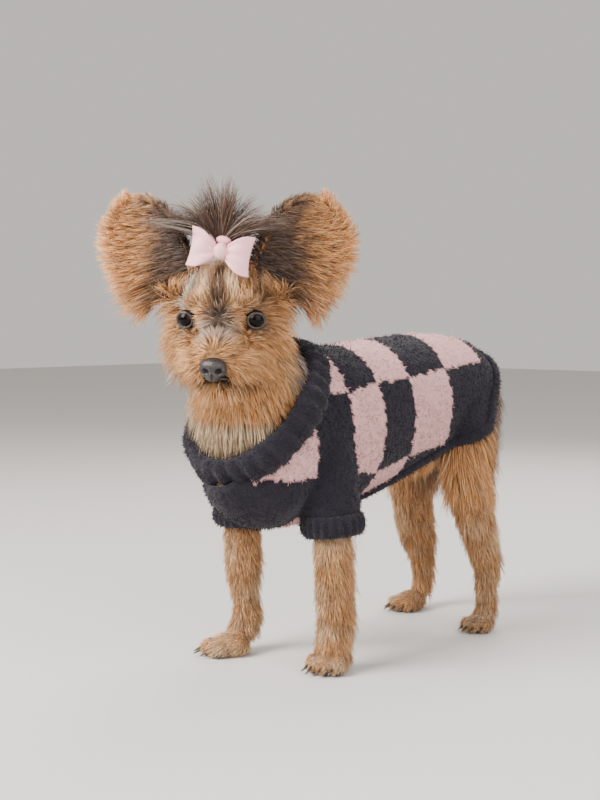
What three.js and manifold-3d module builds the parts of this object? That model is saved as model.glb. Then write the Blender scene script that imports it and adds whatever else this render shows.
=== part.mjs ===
// A small terrier with a silky tan and steel-blue coat, standing with its head turned to its left.
// It wears a knitted jumper with a rolled collar, and a ribbon bow under its topknot.
// Millimetres, +Z up. The dog faces -Y and its left side is +X. The origin is on the floor, under the
// middle of the whole model.
import * as THREE from "three";
import { mergeVertices } from "three/addons/utils/BufferGeometryUtils.js";
import Module from "manifold-3d";

const wasm = await Module();
wasm.setup();
const { Manifold, Mesh: SolidMesh } = wasm;

// Driving sizes.
const GAP = 0.3; // clearance between neighbouring nodes
const WITHERS = 186; // height of the shoulders under the jumper
const KNIT = 5; // thickness of the jumper
const HEAD_AT = [0, -129, 213]; // middle of the skull
const HEAD_YAW = 34.5; // degrees, turned to the dog's left
const HEAD_PITCH = 12; // degrees, nose down
const HEAD_ROLL = 0.5; // degrees, left side down
const EYE_SPACING = 41;
const EYE_RADIUS = 6.4;

const deg = THREE.MathUtils.degToRad;
const vec = (a) => new THREE.Vector3(...a);

// Solids: a closed three.js geometry becomes a solid, and a solid becomes a geometry again.
function solidOf(geometry) {
  const bare = new THREE.BufferGeometry().setAttribute("position", geometry.getAttribute("position"));
  if (geometry.index) bare.setIndex(geometry.index);
  const merged = mergeVertices(bare, 1e-4);
  const build = (triVerts) =>
    new Manifold(new SolidMesh({ numProp: 3, vertProperties: merged.attributes.position.array, triVerts }));
  const triVerts = new Uint32Array(merged.index.array);
  const made = build(triVerts);
  return made.volume() > 0 ? made : build(triVerts.reverse());
}

function geometryOf(solid) {
  const mesh = solid.getMesh();
  const position = new Float32Array(mesh.numVert * 3);
  for (let i = 0; i < mesh.numVert; i++)
    position.set(mesh.vertProperties.subarray(i * mesh.numProp, i * mesh.numProp + 3), i * 3);
  const geometry = new THREE.BufferGeometry().setAttribute("position", new THREE.BufferAttribute(position, 3));
  geometry.setIndex(new THREE.BufferAttribute(mesh.triVerts, 1));
  return geometry;
}

const fuse = (solids) => solids.reduce((sum, solid) => sum.add(solid));
const largest = (solid) =>
  solid.decompose().reduce((best, body) => (body.volume() > best.volume() ? body : best));
const placed = (solid, matrix) => solid.transform(matrix.elements);

// A closed skin over rings of points: capped at both ends, or joined end to end.
function ringSolid(rings, joined = false) {
  const sides = rings[0].length;
  const points = rings.flat();
  const faces = [];
  const count = joined ? rings.length : rings.length - 1;
  for (let i = 0; i < count; i++)
    for (let k = 0; k < sides; k++) {
      const a = i * sides + k;
      const b = i * sides + ((k + 1) % sides);
      const c = ((i + 1) % rings.length) * sides + k;
      const d = ((i + 1) % rings.length) * sides + ((k + 1) % sides);
      faces.push(a, b, c, b, d, c);
    }
  if (!joined)
    for (const [start, turn] of [[0, true], [(rings.length - 1) * sides, false]]) {
      const middle = points.push(
        points.slice(start, start + sides).reduce((s, p) => s.add(p), new THREE.Vector3()).divideScalar(sides),
      ) - 1;
      for (let k = 0; k < sides; k++) {
        const a = start + k;
        const b = start + ((k + 1) % sides);
        if (turn) faces.push(middle, b, a);
        else faces.push(middle, a, b);
      }
    }
  const geometry = new THREE.BufferGeometry().setFromPoints(points);
  return solidOf(geometry.setIndex(faces));
}

// Values between stations, along a smooth curve through them.
function between(stations, key, t) {
  const last = stations.length - 1;
  const i = Math.min(Math.floor(t * last), last - 1);
  const at = (j) => stations[Math.max(0, Math.min(last, j))][key];
  const f = t * last - i;
  const [a, b, c, d] = [at(i - 1), at(i), at(i + 1), at(i + 2)];
  const slope0 = (c - a) / 2;
  const slope1 = (d - b) / 2;
  return b + f * (slope0 + f * (3 * (c - b) - 2 * slope0 - slope1 + f * (2 * (b - c) + slope0 + slope1)));
}

// A limb: elliptical rings along a curve, with domed ends. wide is across the body and deep is fore and aft.
function limb(stations, { sides = 12, steps = 4, grow = 0, dome = 0.7, rib = 0 } = {}) {
  const curve = new THREE.CatmullRomCurve3(stations.map((s) => vec(s.at)), false, "catmullrom", 0.5);
  const total = (stations.length - 1) * steps;
  const rings = [];
  const ring = (t, scale, push) => {
    const centre = curve.getPoint(t);
    const along = curve.getTangent(t);
    const side = new THREE.Vector3(1, 0, 0).addScaledVector(along, -along.x).normalize();
    const fore = new THREE.Vector3().crossVectors(along, side);
    const [wide, deep] = ["wide", "deep"].map((key) => between(stations, key, t) + grow);
    centre.addScaledVector(along, push * Math.min(wide, deep) * dome);
    rings.push(Array.from({ length: sides }, (_, k) => {
      const a = (2 * Math.PI * k) / sides;
      const ridge = k % 2 ? 0 : rib;
      return centre
        .clone()
        .addScaledVector(side, (wide + ridge) * scale * Math.cos(a))
        .addScaledVector(fore, (deep + ridge) * scale * Math.sin(a));
    }));
  };
  for (const a of [80, 45]) ring(0, Math.cos(deg(a)), -Math.sin(deg(a)));
  for (let i = 0; i <= total; i++) ring(i / total, 1, 0);
  for (const a of [45, 80]) ring(1, Math.cos(deg(a)), Math.sin(deg(a)));
  return ringSolid(rings);
}

// Masses that flow into one another: how far a point lies outside a blend of ellipsoids.
function blendDistance(masses, point, soften) {
  let sum = 0;
  for (const { at, size } of masses) {
    const p = [0, 1, 2].map((k) => (point.getComponent(k) - at[k]) / size[k]);
    const near = Math.hypot(...p);
    const slope = Math.hypot(...p.map((x, k) => x / size[k]));
    sum += Math.exp(-(near * (near - 1)) / Math.max(slope, 1e-9) / soften);
  }
  return -soften * Math.log(sum);
}

// A closed surface round a centre, drawn in from outside until it meets the blended masses.
function moulded(centre, masses, { detail = 7, soften = 2.5, grow = 0, reach = 80 } = {}) {
  const ball = mergeVertices(new THREE.IcosahedronGeometry(1, detail).deleteAttribute("normal").deleteAttribute("uv"));
  const position = ball.getAttribute("position");
  const direction = new THREE.Vector3();
  const point = new THREE.Vector3();
  for (let i = 0; i < position.count; i++) {
    direction.fromBufferAttribute(position, i).normalize();
    let far = reach;
    for (let step = 0; step < 80; step++) {
      const out = blendDistance(masses, point.copy(direction).multiplyScalar(far).add(vec(centre)), soften) - grow;
      if (out < 0.02) break;
      far -= out * 0.75;
    }
    position.setXYZ(i, ...direction.multiplyScalar(far).add(vec(centre)).toArray());
  }
  return solidOf(ball);
}

const ellipsoid = (at, size, detail = 3) =>
  solidOf(new THREE.IcosahedronGeometry(1, detail).scale(...size).translate(...at));

const mirrored = (masses) => masses.flatMap((m) => [m, { ...m, at: [-m.at[0], m.at[1], m.at[2]] }]);

const frameOf = (at, x = 0, y = 0, z = 0) =>
  new THREE.Matrix4().compose(
    vec(at),
    new THREE.Quaternion().setFromEuler(new THREE.Euler(deg(x), deg(y), deg(z), "ZYX")),
    new THREE.Vector3(1, 1, 1),
  );

// The trunk: egg-shaped rings from the breast to the buttocks.
const TRUNK = [
  { y: -131, top: 127, bottom: 108, half: 13 },
  { y: -122, top: 140, bottom: 97, half: 27 },
  { y: -110, top: 155, bottom: 91, half: 33 },
  { y: -95, top: 172, bottom: 89, half: 36.5 },
  { y: -70, top: WITHERS + 3, bottom: 90, half: 38.5 },
  { y: -35, top: WITHERS + 5, bottom: 98, half: 40 },
  { y: 5, top: WITHERS + 9, bottom: 105, half: 38.5 },
  { y: 45, top: WITHERS + 11, bottom: 112, half: 37 },
  { y: 85, top: WITHERS + 9, bottom: 120, half: 35.5 },
  { y: 108, top: WITHERS + 2, bottom: 121, half: 31 },
  { y: 122, top: WITHERS - 9, bottom: 125, half: 24 },
  { y: 130, top: WITHERS - 24, bottom: 134, half: 12 },
];

function trunk(grow) {
  const [sides, steps] = [20, 1];
  const total = (TRUNK.length - 1) * steps;
  const rings = [];
  for (let i = 0; i <= total; i++) {
    const t = i / total;
    const [y, top, bottom, half] = ["y", "top", "bottom", "half"].map((key) => between(TRUNK, key, t));
    const end = Math.sign(t - 0.5) * Math.max(0, Math.abs(t - 0.5) * 2 - 0.8) * 5;
    rings.push(Array.from({ length: sides }, (_, k) => {
      const a = (2 * Math.PI * (k + 0.5)) / sides;
      const keel = 1 - 0.16 * Math.max(0, -Math.sin(a)) ** 2;
      const high = (top - bottom) / 2 + grow;
      return new THREE.Vector3(
        (half + grow) * Math.cos(a) * keel,
        y + grow * end,
        (top + bottom) / 2 + high * Math.sin(a),
      );
    }));
  }
  return ringSolid(rings);
}

// Lengths of neck, leg and tail: stations of [x, y, z, half width across, half depth fore and aft].
const stations = (rows) => rows.map(([x, y, z, wide, deep]) => ({ at: [x, y, z], wide, deep }));
const NECK = stations([
  [0, -86, 146, 37, 42],
  [0, -103, 165, 35, 39],
  [0, -114, 185, 30, 32],
  [0, -121, 203, 26, 28],
]);
const neckForm = (grow) => limb(NECK, { sides: 14, steps: 1, grow });
const LIMBS = {
  foreleg_left: {
    upper: stations([[27, -72, 138, 12, 19], [33, -74, 112, 13, 16.5], [37, -77, 88, 13, 14.3]]),
    lower: stations([
      [37.3, -77, 84, 12.9, 14.3], [38, -77, 61, 12, 13.6], [38, -76, 43, 11.8, 13.3],
      [38, -75, 31, 11.8, 13.2], [38, -77, 19, 11.6, 12.6], [38, -78, 10, 11, 12],
    ]),
  },
  foreleg_right: {
    upper: stations([[-27, -72, 138, 12, 19], [-33, -74, 112, 13, 16.5], [-37, -78, 88, 13, 14.2]]),
    lower: stations([
      [-37.5, -78, 84, 12.9, 14], [-38, -77, 60, 11.8, 12.8], [-38, -75.5, 43, 9.8, 10.8],
      [-38, -74, 33, 9, 9.8], [-38, -73.5, 24, 9.8, 11], [-38, -77, 15, 10, 10.6], [-38.5, -81, 9, 9.5, 9.5],
    ]),
  },
  hindleg_left: {
    upper: stations([[21, 84, 160, 13, 27], [29, 73, 132, 15.5, 24], [34, 66, 108, 13.5, 21], [37.5, 67, 86, 12, 18.5]]),
    lower: stations([
      [38, 69, 80, 11.5, 17.5], [39, 75, 62, 10, 15], [39, 82, 46, 9, 13],
      [39, 81, 33, 8.2, 10], [39, 82, 20, 7.8, 8.4], [39, 80, 12, 8, 8.6],
    ]),
  },
  hindleg_right: {
    upper: stations([[-21, 96, 160, 13, 27], [-29, 98, 134, 15.5, 28], [-34, 99, 108, 13.5, 25], [-37.5, 99, 86, 12, 22]]),
    lower: stations([
      [-38, 99, 80, 11.3, 20.6], [-39, 104, 65, 10.5, 21], [-39, 110, 50, 9.5, 18.5],
      [-39, 112, 41, 8.5, 15], [-39, 114, 27, 8, 11], [-39, 111, 13, 7.8, 9],
    ]),
  },
};
// The tail is short and hangs down the rump, with its feathering round it.
const TAIL = stations([[-2, 110, 174, 12, 12], [-3, 128, 172, 10.5, 10.5], [-5, 139, 158, 9.4, 9.4], [-6, 142, 140, 7, 7]]);

// Where each paw stands, how far its toes turn out in degrees, and its size beside the left forepaw.
const PAWS = {
  foreleg_left: { at: [38, -78, 0], turn: 3, size: 1 },
  foreleg_right: { at: [-38, -90, 0], turn: -46, size: 1 },
  hindleg_left: { at: [39, 75, 0], turn: 3, size: 0.84 },
  hindleg_right: { at: [-39, 98, 0], turn: -16, size: 0.94 },
};

// A paw in its own frame: four toes ahead, a claw on each, and a flat sole at z = 0.
const TOES = [
  { x: -9.4, y: -6, turn: -14 },
  { x: -3.4, y: -10.5, turn: -4 },
  { x: 3.4, y: -10.5, turn: 4 },
  { x: 9.4, y: -6, turn: 14 },
];

function pawForm(name, grow) {
  const { at, turn, size } = PAWS[name];
  const pieces = [ellipsoid([0, 2, 6], [11, 13, 10.5].map((x) => x * size + grow), 2)];
  for (const toe of TOES) {
    const half = [4.3, 7.8, 6.3].map((x) => x * size + grow);
    pieces.push(solidOf(new THREE.SphereGeometry(1, 7, 5).scale(...half).translate(toe.x * size, toe.y * size, 5 * size)));
    const claw = new THREE.ConeGeometry(1.5 + grow, 7 + grow, 4)
      .rotateX(Math.PI / 2 + 0.45)
      .rotateY(Math.PI)
      .rotateZ(deg(toe.turn))
      .translate(toe.x * size, toe.y * size - 7.4 * size, 4.4 * size);
    pieces.push(solidOf(claw));
  }
  const below = new THREE.BoxGeometry(90, 90, 40).translate(0, 0, -20);
  return placed(largest(fuse(pieces).subtract(solidOf(below))), frameOf(at, 0, 0, turn));
}

// The head, in its own frame: skull at the origin, nose towards -Y.
const SIDES = { left: 1, right: -1 };
const headFrame = frameOf(HEAD_AT, HEAD_PITCH, HEAD_ROLL, HEAD_YAW);
const inHead = (solid) => placed(solid, headFrame);
const EYE_AT = [EYE_SPACING / 2, -19.5, 2];
const SKULL = [
  { at: [0, 5, 8], size: [25, 30, 22.5] },
  { at: [0, -10, 13], size: [18, 15, 13] },
  { at: [0, 4, -12], size: [20, 20, 15] },
  { at: [0, -30, -13], size: [10.5, 15, 9.5] },
  { at: [0, -38, -18], size: [9, 7.5, 8] },
  ...mirrored([
    { at: [19, -3, -10], size: [9, 16, 13] },
    { at: [8.5, -31, -20], size: [7, 9.5, 7] },
    { at: [13, -17.5, 13], size: [7.5, 5.5, 3.8] },
    { at: [17, -16, -11], size: [8, 8, 7] },
  ]),
];
const JAW = [
  { at: [0, -25, -31], size: [10.5, 13, 6.5] },
  { at: [0, -8, -28], size: [14, 15, 8] },
];
// Each long part of the head's coat is one smooth mass, out to the tips of the hair.
const SKULL_HAIR = [
  { at: [0, 14, 8], size: [28, 27, 26] }, // nape
  { at: [0, -13, 26], size: [13, 11, 16] }, // forehead, swept up to the tie
  ...mirrored([
    { at: [24, -2, -13], size: [15.5, 17, 20] }, // cheeks
    { at: [21.5, -13, -31], size: [10.5, 14, 15.5] }, // jowls
    { at: [10.5, -33, -25.5], size: [10, 10.5, 9] }, // moustache
    { at: [13, -19, 14], size: [8, 6, 4.5] }, // brows
  ]),
];
const BEARD = [{ at: [0, -19, -38], size: [17, 17, 14.5] }];
const skullForm = (grow) => moulded([0, -8, -2], [...SKULL, ...SKULL_HAIR], { detail: 7, soften: 2.6, grow });
const jawForm = (grow) => inHead(moulded([0, -20, -30], [...JAW, ...BEARD], { detail: 3, soften: 2, grow }));

// The nose leather, with nostrils that run back along its sides, and a groove below.
const NOSE_AT = [0, -47, -20];
function noseForm(grow) {
  const pad = moulded(NOSE_AT, [
    { at: [0, -46.5, -18], size: [7.6, 5.6, 4.6] },
    { at: [0, -47, -22], size: [5, 4.6, 5.2] },
    ...mirrored([{ at: [4.6, -46.5, -20.5], size: [3.4, 4.6, 3.6] }]),
  ], { detail: 2, soften: 1.2, grow, reach: 30 });
  if (grow) return pad;
  const nostrils = [-1, 1].map((side) =>
    placed(ellipsoid([0, 0, 0], [3.4, 3.4, 1.3], 1), frameOf([side * 4.6, -51, -20.8], 0, side * 14, side * 32)),
  );
  const groove = solidOf(new THREE.BoxGeometry(0.8, 3, 8).translate(0, -52, -24.5));
  return largest(pad.subtract(fuse([...nostrils, groove])));
}

// Lids: a rim of skin round each eye, heavier above.
function lidForm(side, grow = 0) {
  const rim = Array.from({ length: 12 }, (_, i) => {
    const a = (2 * Math.PI * i) / 12;
    const tube = (Math.sin(a) > 0 ? 1.8 : 1.3) + grow;
    const out = new THREE.Vector3(Math.cos(a), 0, Math.sin(a) * 0.88);
    const centre = out.clone().multiplyScalar(5.6).add(new THREE.Vector3(0, -3.4, 0));
    return Array.from({ length: 4 }, (_, k) => {
      const b = (2 * Math.PI * (k + 0.5)) / 4;
      return centre.clone().addScaledVector(out, tube * Math.cos(b)).add(new THREE.Vector3(0, tube * Math.sin(b), 0));
    });
  });
  const turned = frameOf([side * EYE_AT[0], EYE_AT[1], EYE_AT[2]], 0, 0, side * 16);
  return placed(ringSolid(rim, true), turned);
}
const eyeForm = (side, grow) =>
  ellipsoid([side * EYE_AT[0], EYE_AT[1] + 0.6, EYE_AT[2]], [1, 1, 1].map(() => EYE_RADIUS + grow), 3);

// Lips: a thin rim along the line of the mouth, on the upper jaw.
function lipForm(grow = 0) {
  const line = new THREE.CatmullRomCurve3([
    [-15.5, -17, -24.5], [-12.5, -29, -25.4], [-6.5, -38, -26.2], [0, -41.5, -25.4],
    [6.5, -38, -26.2], [12.5, -29, -25.4], [15.5, -17, -24.5],
  ].map(vec));
  const section = new THREE.Shape().absellipse(0, 0, 1.3 + grow, 1.3 + grow, 0, 2 * Math.PI);
  return solidOf(new THREE.ExtrudeGeometry(section, { steps: 8, curveSegments: 2, extrudePath: line, bevelEnabled: false }));
}

function headForm(grow) {
  return inHead(fuse([skullForm(grow), lidForm(1, grow), lidForm(-1, grow), lipForm(grow)]));
}

// A bent sheet with a front and a back: place(u, v) gives a point, with u across it and v along it.
function sheetSolid(across, along, place, thick) {
  const sides = 2 * (across + 1);
  const points = [];
  for (let j = 0; j <= along; j++)
    for (let k = 0; k < sides; k++) {
      const front = k <= across;
      const [u, v] = [(front ? k : sides - 1 - k) / across, j / along];
      const step = 0.01;
      const du = place(u + step, v).sub(place(u - step, v));
      const dv = place(u, v + step).sub(place(u, v - step));
      points.push(place(u, v).addScaledVector(du.cross(dv).normalize(), ((front ? 1 : -1) * thick(u, v)) / 2));
    }
  const faces = [];
  for (let j = 0; j < along; j++)
    for (let k = 0; k < sides; k++) {
      const next = (k + 1) % sides;
      const [a, b, c, d] = [j * sides + k, j * sides + next, (j + 1) * sides + k, (j + 1) * sides + next];
      if (k > across) faces.push(a, b, d, a, d, c);
      else faces.push(a, b, c, b, d, c);
    }
  for (const [start, first] of [[0, true], [along * sides, false]])
    for (let i = 0; i < across; i++) {
      const [a, b, c, d] = [i, i + 1, sides - 1 - i, sides - 2 - i].map((x) => start + x);
      if (first) faces.push(a, c, b, b, c, d);
      else faces.push(a, b, c, b, d, c);
    }
  return solidOf(new THREE.BufferGeometry().setFromPoints(points).setIndex(faces));
}

// An ear: a broad upright leather with its fringe, cupped forward, wide above the base and round at the tip.
const EAR = { base: [29, 4, 14], height: 64, width: 62, cup: 12, drop: 15, lean: 31, face: 20, back: 4, rows: 8 };
const earFrame = (side) => frameOf(EAR.base.map((x, k) => (k ? x : side * x)), EAR.back, side * EAR.lean, side * EAR.face);
const earWidth = (v) => Math.max(EAR.width * (0.82 + 0.46 * v - 0.28 * v * v) * Math.sqrt(1 - v ** 5), 6);

function earPoint(u, v, side, grow) {
  const bow = 2 * u - 1;
  const wide = earWidth(Math.min(Math.max(v, 0), 1));
  const depth = EAR.cup * (1 - 0.5 * v) * Math.min(wide / EAR.width, 1);
  return new THREE.Vector3(
    bow * (wide / 2 + grow),
    depth * (0.4 - bow * bow) - 3 * v * v,
    v * EAR.height - EAR.drop * (1 - v) ** 2 * Math.max(bow * side, 0) ** 2 + (2 * v - 1) * grow,
  );
}

function earForm(side, grow = 0) {
  const thick = (u, v) => 2.2 + 3.4 * (1 - v) * (1 - Math.abs(2 * u - 1)) + 2 * grow;
  const rise = (v) => 1 - Math.max(1 - v, 0) ** 1.4; // rows lie closer together near the tip
  const leather = sheetSolid(6, EAR.rows, (u, v) => earPoint(u, rise(v), side, grow), thick);
  const root = ellipsoid([0, 2, -2], [14 + grow, 9 + grow, 12 + grow], 2);
  return inHead(placed(fuse([leather, root]), earFrame(side)));
}

// The topknot: hair gathered to a tie, and above it one smooth fan, whose sides droop.
const TIE = { at: [0, -14, 43], radius: 3.6 };
const discs = (at, rows, sides, flat = 1) =>
  ringSolid(rows.map(([z, r]) =>
    Array.from({ length: sides }, (_, k) => {
      const a = (2 * Math.PI * k) / sides;
      return new THREE.Vector3(at[0] + r * Math.cos(a), at[1] + r * flat * Math.sin(a), at[2] + z);
    }),
  ));

const FAN = [
  { at: [0, -14, 66], size: [15, 8, 18] },
  ...mirrored([
    { at: [12, -14, 61], size: [12, 7.5, 14] },
    { at: [19, -14, 54], size: [9, 6.5, 10] },
  ]),
];
function topknotForm(grow = 0) {
  const stalk = [[-12, 13], [-5, 7.5], [-1.5, 2.4], [2.7, 2.4], [7, 5.4], [12, 6]].map(([z, r]) => [z, r + grow]);
  const fan = moulded([0, -14, 62], FAN, { detail: 3, soften: 1.5, grow, reach: 50 });
  return inHead(fuse([discs(TIE.at, stalk, 12, 0.8), fan]));
}

// The bow: two flared loops of ribbon, a knot, and a tie round the topknot.
const BOW = { at: [1.5, -20.5, 42], reach: 14.5, flare: 11, waist: 3.4, tilt: 11 };
const bowFrame = headFrame.clone().multiply(frameOf(BOW.at, -8, BOW.tilt, 0));
function bowLoop(side, grow = 0) {
  const place = (u, v) => {
    const a = Math.PI * 1.7 * (v - 0.5);
    const out = (1 + Math.cos(a)) / 2;
    const high = BOW.waist + (BOW.flare - BOW.waist) * Math.sin((Math.PI / 2) * Math.min(1, out * 1.15)) + grow;
    return new THREE.Vector3(side * (3 + BOW.reach * out), 3.2 * Math.sin(a) * (0.6 + 0.4 * Math.sin(Math.PI * out)), high * (2 * u - 1));
  };
  return placed(sheetSolid(4, 10, place, () => 0.9 + 2 * grow), bowFrame);
}
const bowKnot = (grow = 0) =>
  placed(solidOf(new THREE.SphereGeometry(1, 10, 6).scale(4 + grow, 3.6 + grow, 4.6 + grow)), bowFrame);
const tieForm = (grow = 0) =>
  inHead(solidOf(new THREE.TorusGeometry(TIE.radius, 1.2 + grow, 5, 12).translate(TIE.at[0], TIE.at[1], TIE.at[2] + 0.6)));

// The jumper: a body over the trunk and shoulders, a rolled and ribbed collar, and ribbed cuffs.
const COLLAR = { at: [0, -102, 157], lean: 49, wide: 37, deep: 43 };
const CUFFS = {
  foreleg_left: stations([[35.8, -76, 96, 13.4, 14.8], [37.4, -77, 85, 13.2, 14.6]]),
  foreleg_right: stations([[-35.8, -76, 96, 13.4, 14.8], [-37.4, -77.5, 85, 13.2, 14.6]]),
};
// The rear hem in side view, as [y, z]: it slants from the croup to a short belly.
const HEM = [[141, 214], [116, 188], [72, 138], [-16, 104], [-40, 95], [-40, 40], [260, 40], [260, 214]];

const collarFrame = frameOf(COLLAR.at, COLLAR.lean);
const RIBS = 16;
function collarForm(grow = 0, smooth = false) {
  const profile = [[0, -11.5], [5.5, -11], [8.6, -6], [9, 2], [7, 8], [3, 10.5], [-1.5, 9.5], [-2.5, -1]];
  const rings = Array.from({ length: RIBS * 2 }, (_, i) => {
    const a = (Math.PI * i) / RIBS;
    const ridge = i % 2 && !smooth ? 0 : 1.2;
    const slump = 1 + 0.06 * Math.max(0, -Math.sin(a));
    return profile.map(([out, up]) => {
      const r = out > 3 ? out + ridge + grow : out - grow * Math.sign(1 - out);
      return new THREE.Vector3(
        (COLLAR.wide + r) * Math.cos(a), (COLLAR.deep + r) * Math.sin(a) * slump, up * (1 + grow / 10),
      );
    });
  });
  return placed(ringSolid(rings, true), collarFrame);
}

const upperForm = (name, grow) => limb(LIMBS[name].upper, { sides: 12, steps: 1, grow });
const lowerForm = (name, grow) => limb(LIMBS[name].lower, { sides: 12, steps: 1, grow });
const cuffForm = (name, grow) => limb(CUFFS[name], { sides: 16, steps: 1, grow: KNIT - 0.6 + grow, dome: 0.15, rib: 0.8 });

function hemPrism(grow) {
  const shape = new THREE.Shape(HEM.map(([y, z]) => new THREE.Vector2(y + 2 * grow, z)));
  const prism = new THREE.ExtrudeGeometry(shape, { depth: 200, bevelEnabled: false });
  const across = new THREE.Matrix4().makeBasis(vec([0, 1, 0]), vec([0, 0, 1]), vec([1, 0, 0]));
  return solidOf(prism.applyMatrix4(across.setPosition(-100, 0, 0)));
}

function jumperBody() {
  const outer = fuse([trunk(KNIT), ...limbNames.map((name) => upperForm(name, KNIT))]);
  const above = placed(solidOf(new THREE.BoxGeometry(200, 200, 160).translate(0, 0, 75)), collarFrame);
  return trimmed(outer, hemPrism(0), above, torsoClear, ...Object.values(uppersClear), ...cuffsClear, collarClear, neckForm(GAP));
}

const tailForm = (grow) => limb(TAIL, { sides: 10, steps: 2, grow });

// Materials.
const finish = (hex, roughness) => new THREE.MeshStandardMaterial({ color: hex, roughness, metalness: 0 });
const TAN = finish(0xb57a45, 0.85);
const BLUE = finish(0x55504d, 0.85);
const SILVER = finish(0x8d7c6c, 0.85);
const LEATHER = finish(0x2a2522, 0.4);
const EYE = finish(0x17120f, 0.08);
const YARN = finish(0x3b3644, 0.95);
const RIBBON = finish(0xf2c9cc, 0.55);

function trimmed(solid, ...cutters) {
  return largest(cutters.reduce((rest, cutter) => rest.subtract(cutter), solid));
}

const dog = new THREE.Group();
dog.name = "terrier";
function group(name, frame = new THREE.Matrix4()) {
  const made = new THREE.Group();
  made.name = name;
  made.applyMatrix4(frame);
  dog.add(made);
  return made;
}

// Puts a solid, given in the dog's frame, into a group as a named node.
function node(parent, name, solid, material) {
  parent.updateMatrix();
  const local = placed(largest(solid), parent.matrix.clone().invert());
  const made = new THREE.Mesh(geometryOf(local), material);
  made.name = name;
  parent.add(made);
}

const limbNames = Object.keys(LIMBS);

// Clearance forms: each neighbour of a node, a gap larger.
const torsoClear = trunk(GAP);
const uppersClear = Object.fromEntries(limbNames.map((name) => [name, upperForm(name, GAP)]));
const pawsClear = Object.fromEntries(limbNames.map((name) => [name, pawForm(name, GAP)]));
const cuffsClear = Object.keys(CUFFS).map((name) => cuffForm(name, GAP));
const collarClear = collarForm(GAP, true);
const jumperClear = trunk(KNIT + GAP).subtract(hemPrism(GAP));
const headClear = headForm(GAP);
const jawClear = jawForm(GAP);
const eyesClear = [1, -1].map((side) => inHead(eyeForm(side, GAP)));
const noseClear = inHead(noseForm(GAP));
const bowClear = fuse([bowLoop(1, GAP), bowLoop(-1, GAP), bowKnot(GAP)]);
const tieClear = tieForm(GAP);
const earsClear = [1, -1].map((side) => earForm(side, GAP));

const head = group("head_parts", headFrame);
node(head, "head", trimmed(headForm(0), ...eyesClear, noseClear, collarClear, bowClear, tieClear), TAN);
node(head, "jaw", trimmed(jawForm(0), headClear, noseClear, collarClear), TAN);
node(head, "nose", inHead(noseForm(0)), LEATHER);
for (const [word, side] of Object.entries(SIDES)) {
  node(head, `eye_${word}`, inHead(eyeForm(side, 0)), EYE);
  node(head, `ear_${word}`, trimmed(earForm(side), headClear, bowClear, tieClear), TAN);
  node(head, `bow_loop_${word}`, trimmed(bowLoop(side), bowKnot(GAP), tieClear), RIBBON);
}
node(head, "bow_knot", trimmed(bowKnot(), tieClear), RIBBON);
node(head, "hair_tie", tieForm(), RIBBON);
node(head, "topknot", trimmed(topknotForm(), headClear, tieClear, bowClear, ...earsClear), SILVER);

const body = group("body_parts");
node(body, "neck", trimmed(neckForm(0), torsoClear, headClear, jawClear, collarClear, jumperClear), BLUE);
node(body, "torso", trimmed(trunk(0), collarClear), BLUE);
node(body, "tail", trimmed(tailForm(0), torsoClear, jumperClear), BLUE);

for (const name of limbNames) {
  const leg = group(`${name}_parts`);
  const fore = name.startsWith("fore");
  const [top, low] = fore ? ["upper", "lower"] : ["thigh", "shank"];
  node(leg, `${name}_${top}`, trimmed(upperForm(name, 0), torsoClear, tailForm(GAP)), fore ? TAN : BLUE);
  node(leg, `${name}_${low}`, trimmed(lowerForm(name, 0), uppersClear[name], pawsClear[name], torsoClear), TAN);
  node(leg, `${name}_paw`, pawForm(name, 0), TAN);
}

const jumper = group("jumper");
node(jumper, "jumper_body", jumperBody(), YARN);
node(jumper, "jumper_collar", trimmed(collarForm(), torsoClear), YARN);
for (const name of Object.keys(CUFFS)) {
  const cuff = trimmed(cuffForm(name, 0), torsoClear, uppersClear[name], lowerForm(name, GAP), collarClear);
  node(jumper, `jumper_cuff_${name.split("_")[1]}`, cuff, YARN);
}

// The whole model stands with the middle of its footprint at the origin.
dog.updateMatrixWorld(true);
const box = new THREE.Box3().setFromObject(dog, true);
dog.position.set(-(box.min.x + box.max.x) / 2, -(box.min.y + box.max.y) / 2, -box.min.z);
dog.updateMatrixWorld(true);

export default dog;
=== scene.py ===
"""A small terrier with a silky tan and dark coat, in a knitted jumper and a ribbon bow.

Lengths are millimetres in the dog's own frame: it faces -Y, its left side is +X and the
floor is z = 0. to_row() turns them into the frame's metres.
"""

import math

import bmesh
import bpy
import numpy as np
from mathutils import Euler, Matrix, Vector
from mathutils.bvhtree import BVHTree
from mathutils.kdtree import KDTree


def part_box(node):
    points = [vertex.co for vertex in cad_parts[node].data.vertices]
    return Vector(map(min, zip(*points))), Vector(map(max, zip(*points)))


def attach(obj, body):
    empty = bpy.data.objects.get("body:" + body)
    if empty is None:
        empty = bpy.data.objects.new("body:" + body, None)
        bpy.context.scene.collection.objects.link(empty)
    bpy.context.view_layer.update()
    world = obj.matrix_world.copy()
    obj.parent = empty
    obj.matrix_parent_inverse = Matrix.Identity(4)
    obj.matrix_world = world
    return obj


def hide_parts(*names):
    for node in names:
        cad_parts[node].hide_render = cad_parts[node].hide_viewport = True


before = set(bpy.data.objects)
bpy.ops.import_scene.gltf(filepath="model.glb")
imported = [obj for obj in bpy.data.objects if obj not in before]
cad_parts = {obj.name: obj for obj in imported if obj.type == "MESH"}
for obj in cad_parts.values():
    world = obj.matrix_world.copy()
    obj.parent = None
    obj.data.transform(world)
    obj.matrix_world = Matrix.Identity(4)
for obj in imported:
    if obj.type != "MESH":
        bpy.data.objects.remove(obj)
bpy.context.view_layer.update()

# Driving sizes.
HEAD_AT = (0, -129, 213)
HEAD_TURN = (12, 0.5, 34.5)
EYE_AT = (20.5, -18.9, 2)
EYE_RADIUS = 5.5
EYE_SINK = 2.4
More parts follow.
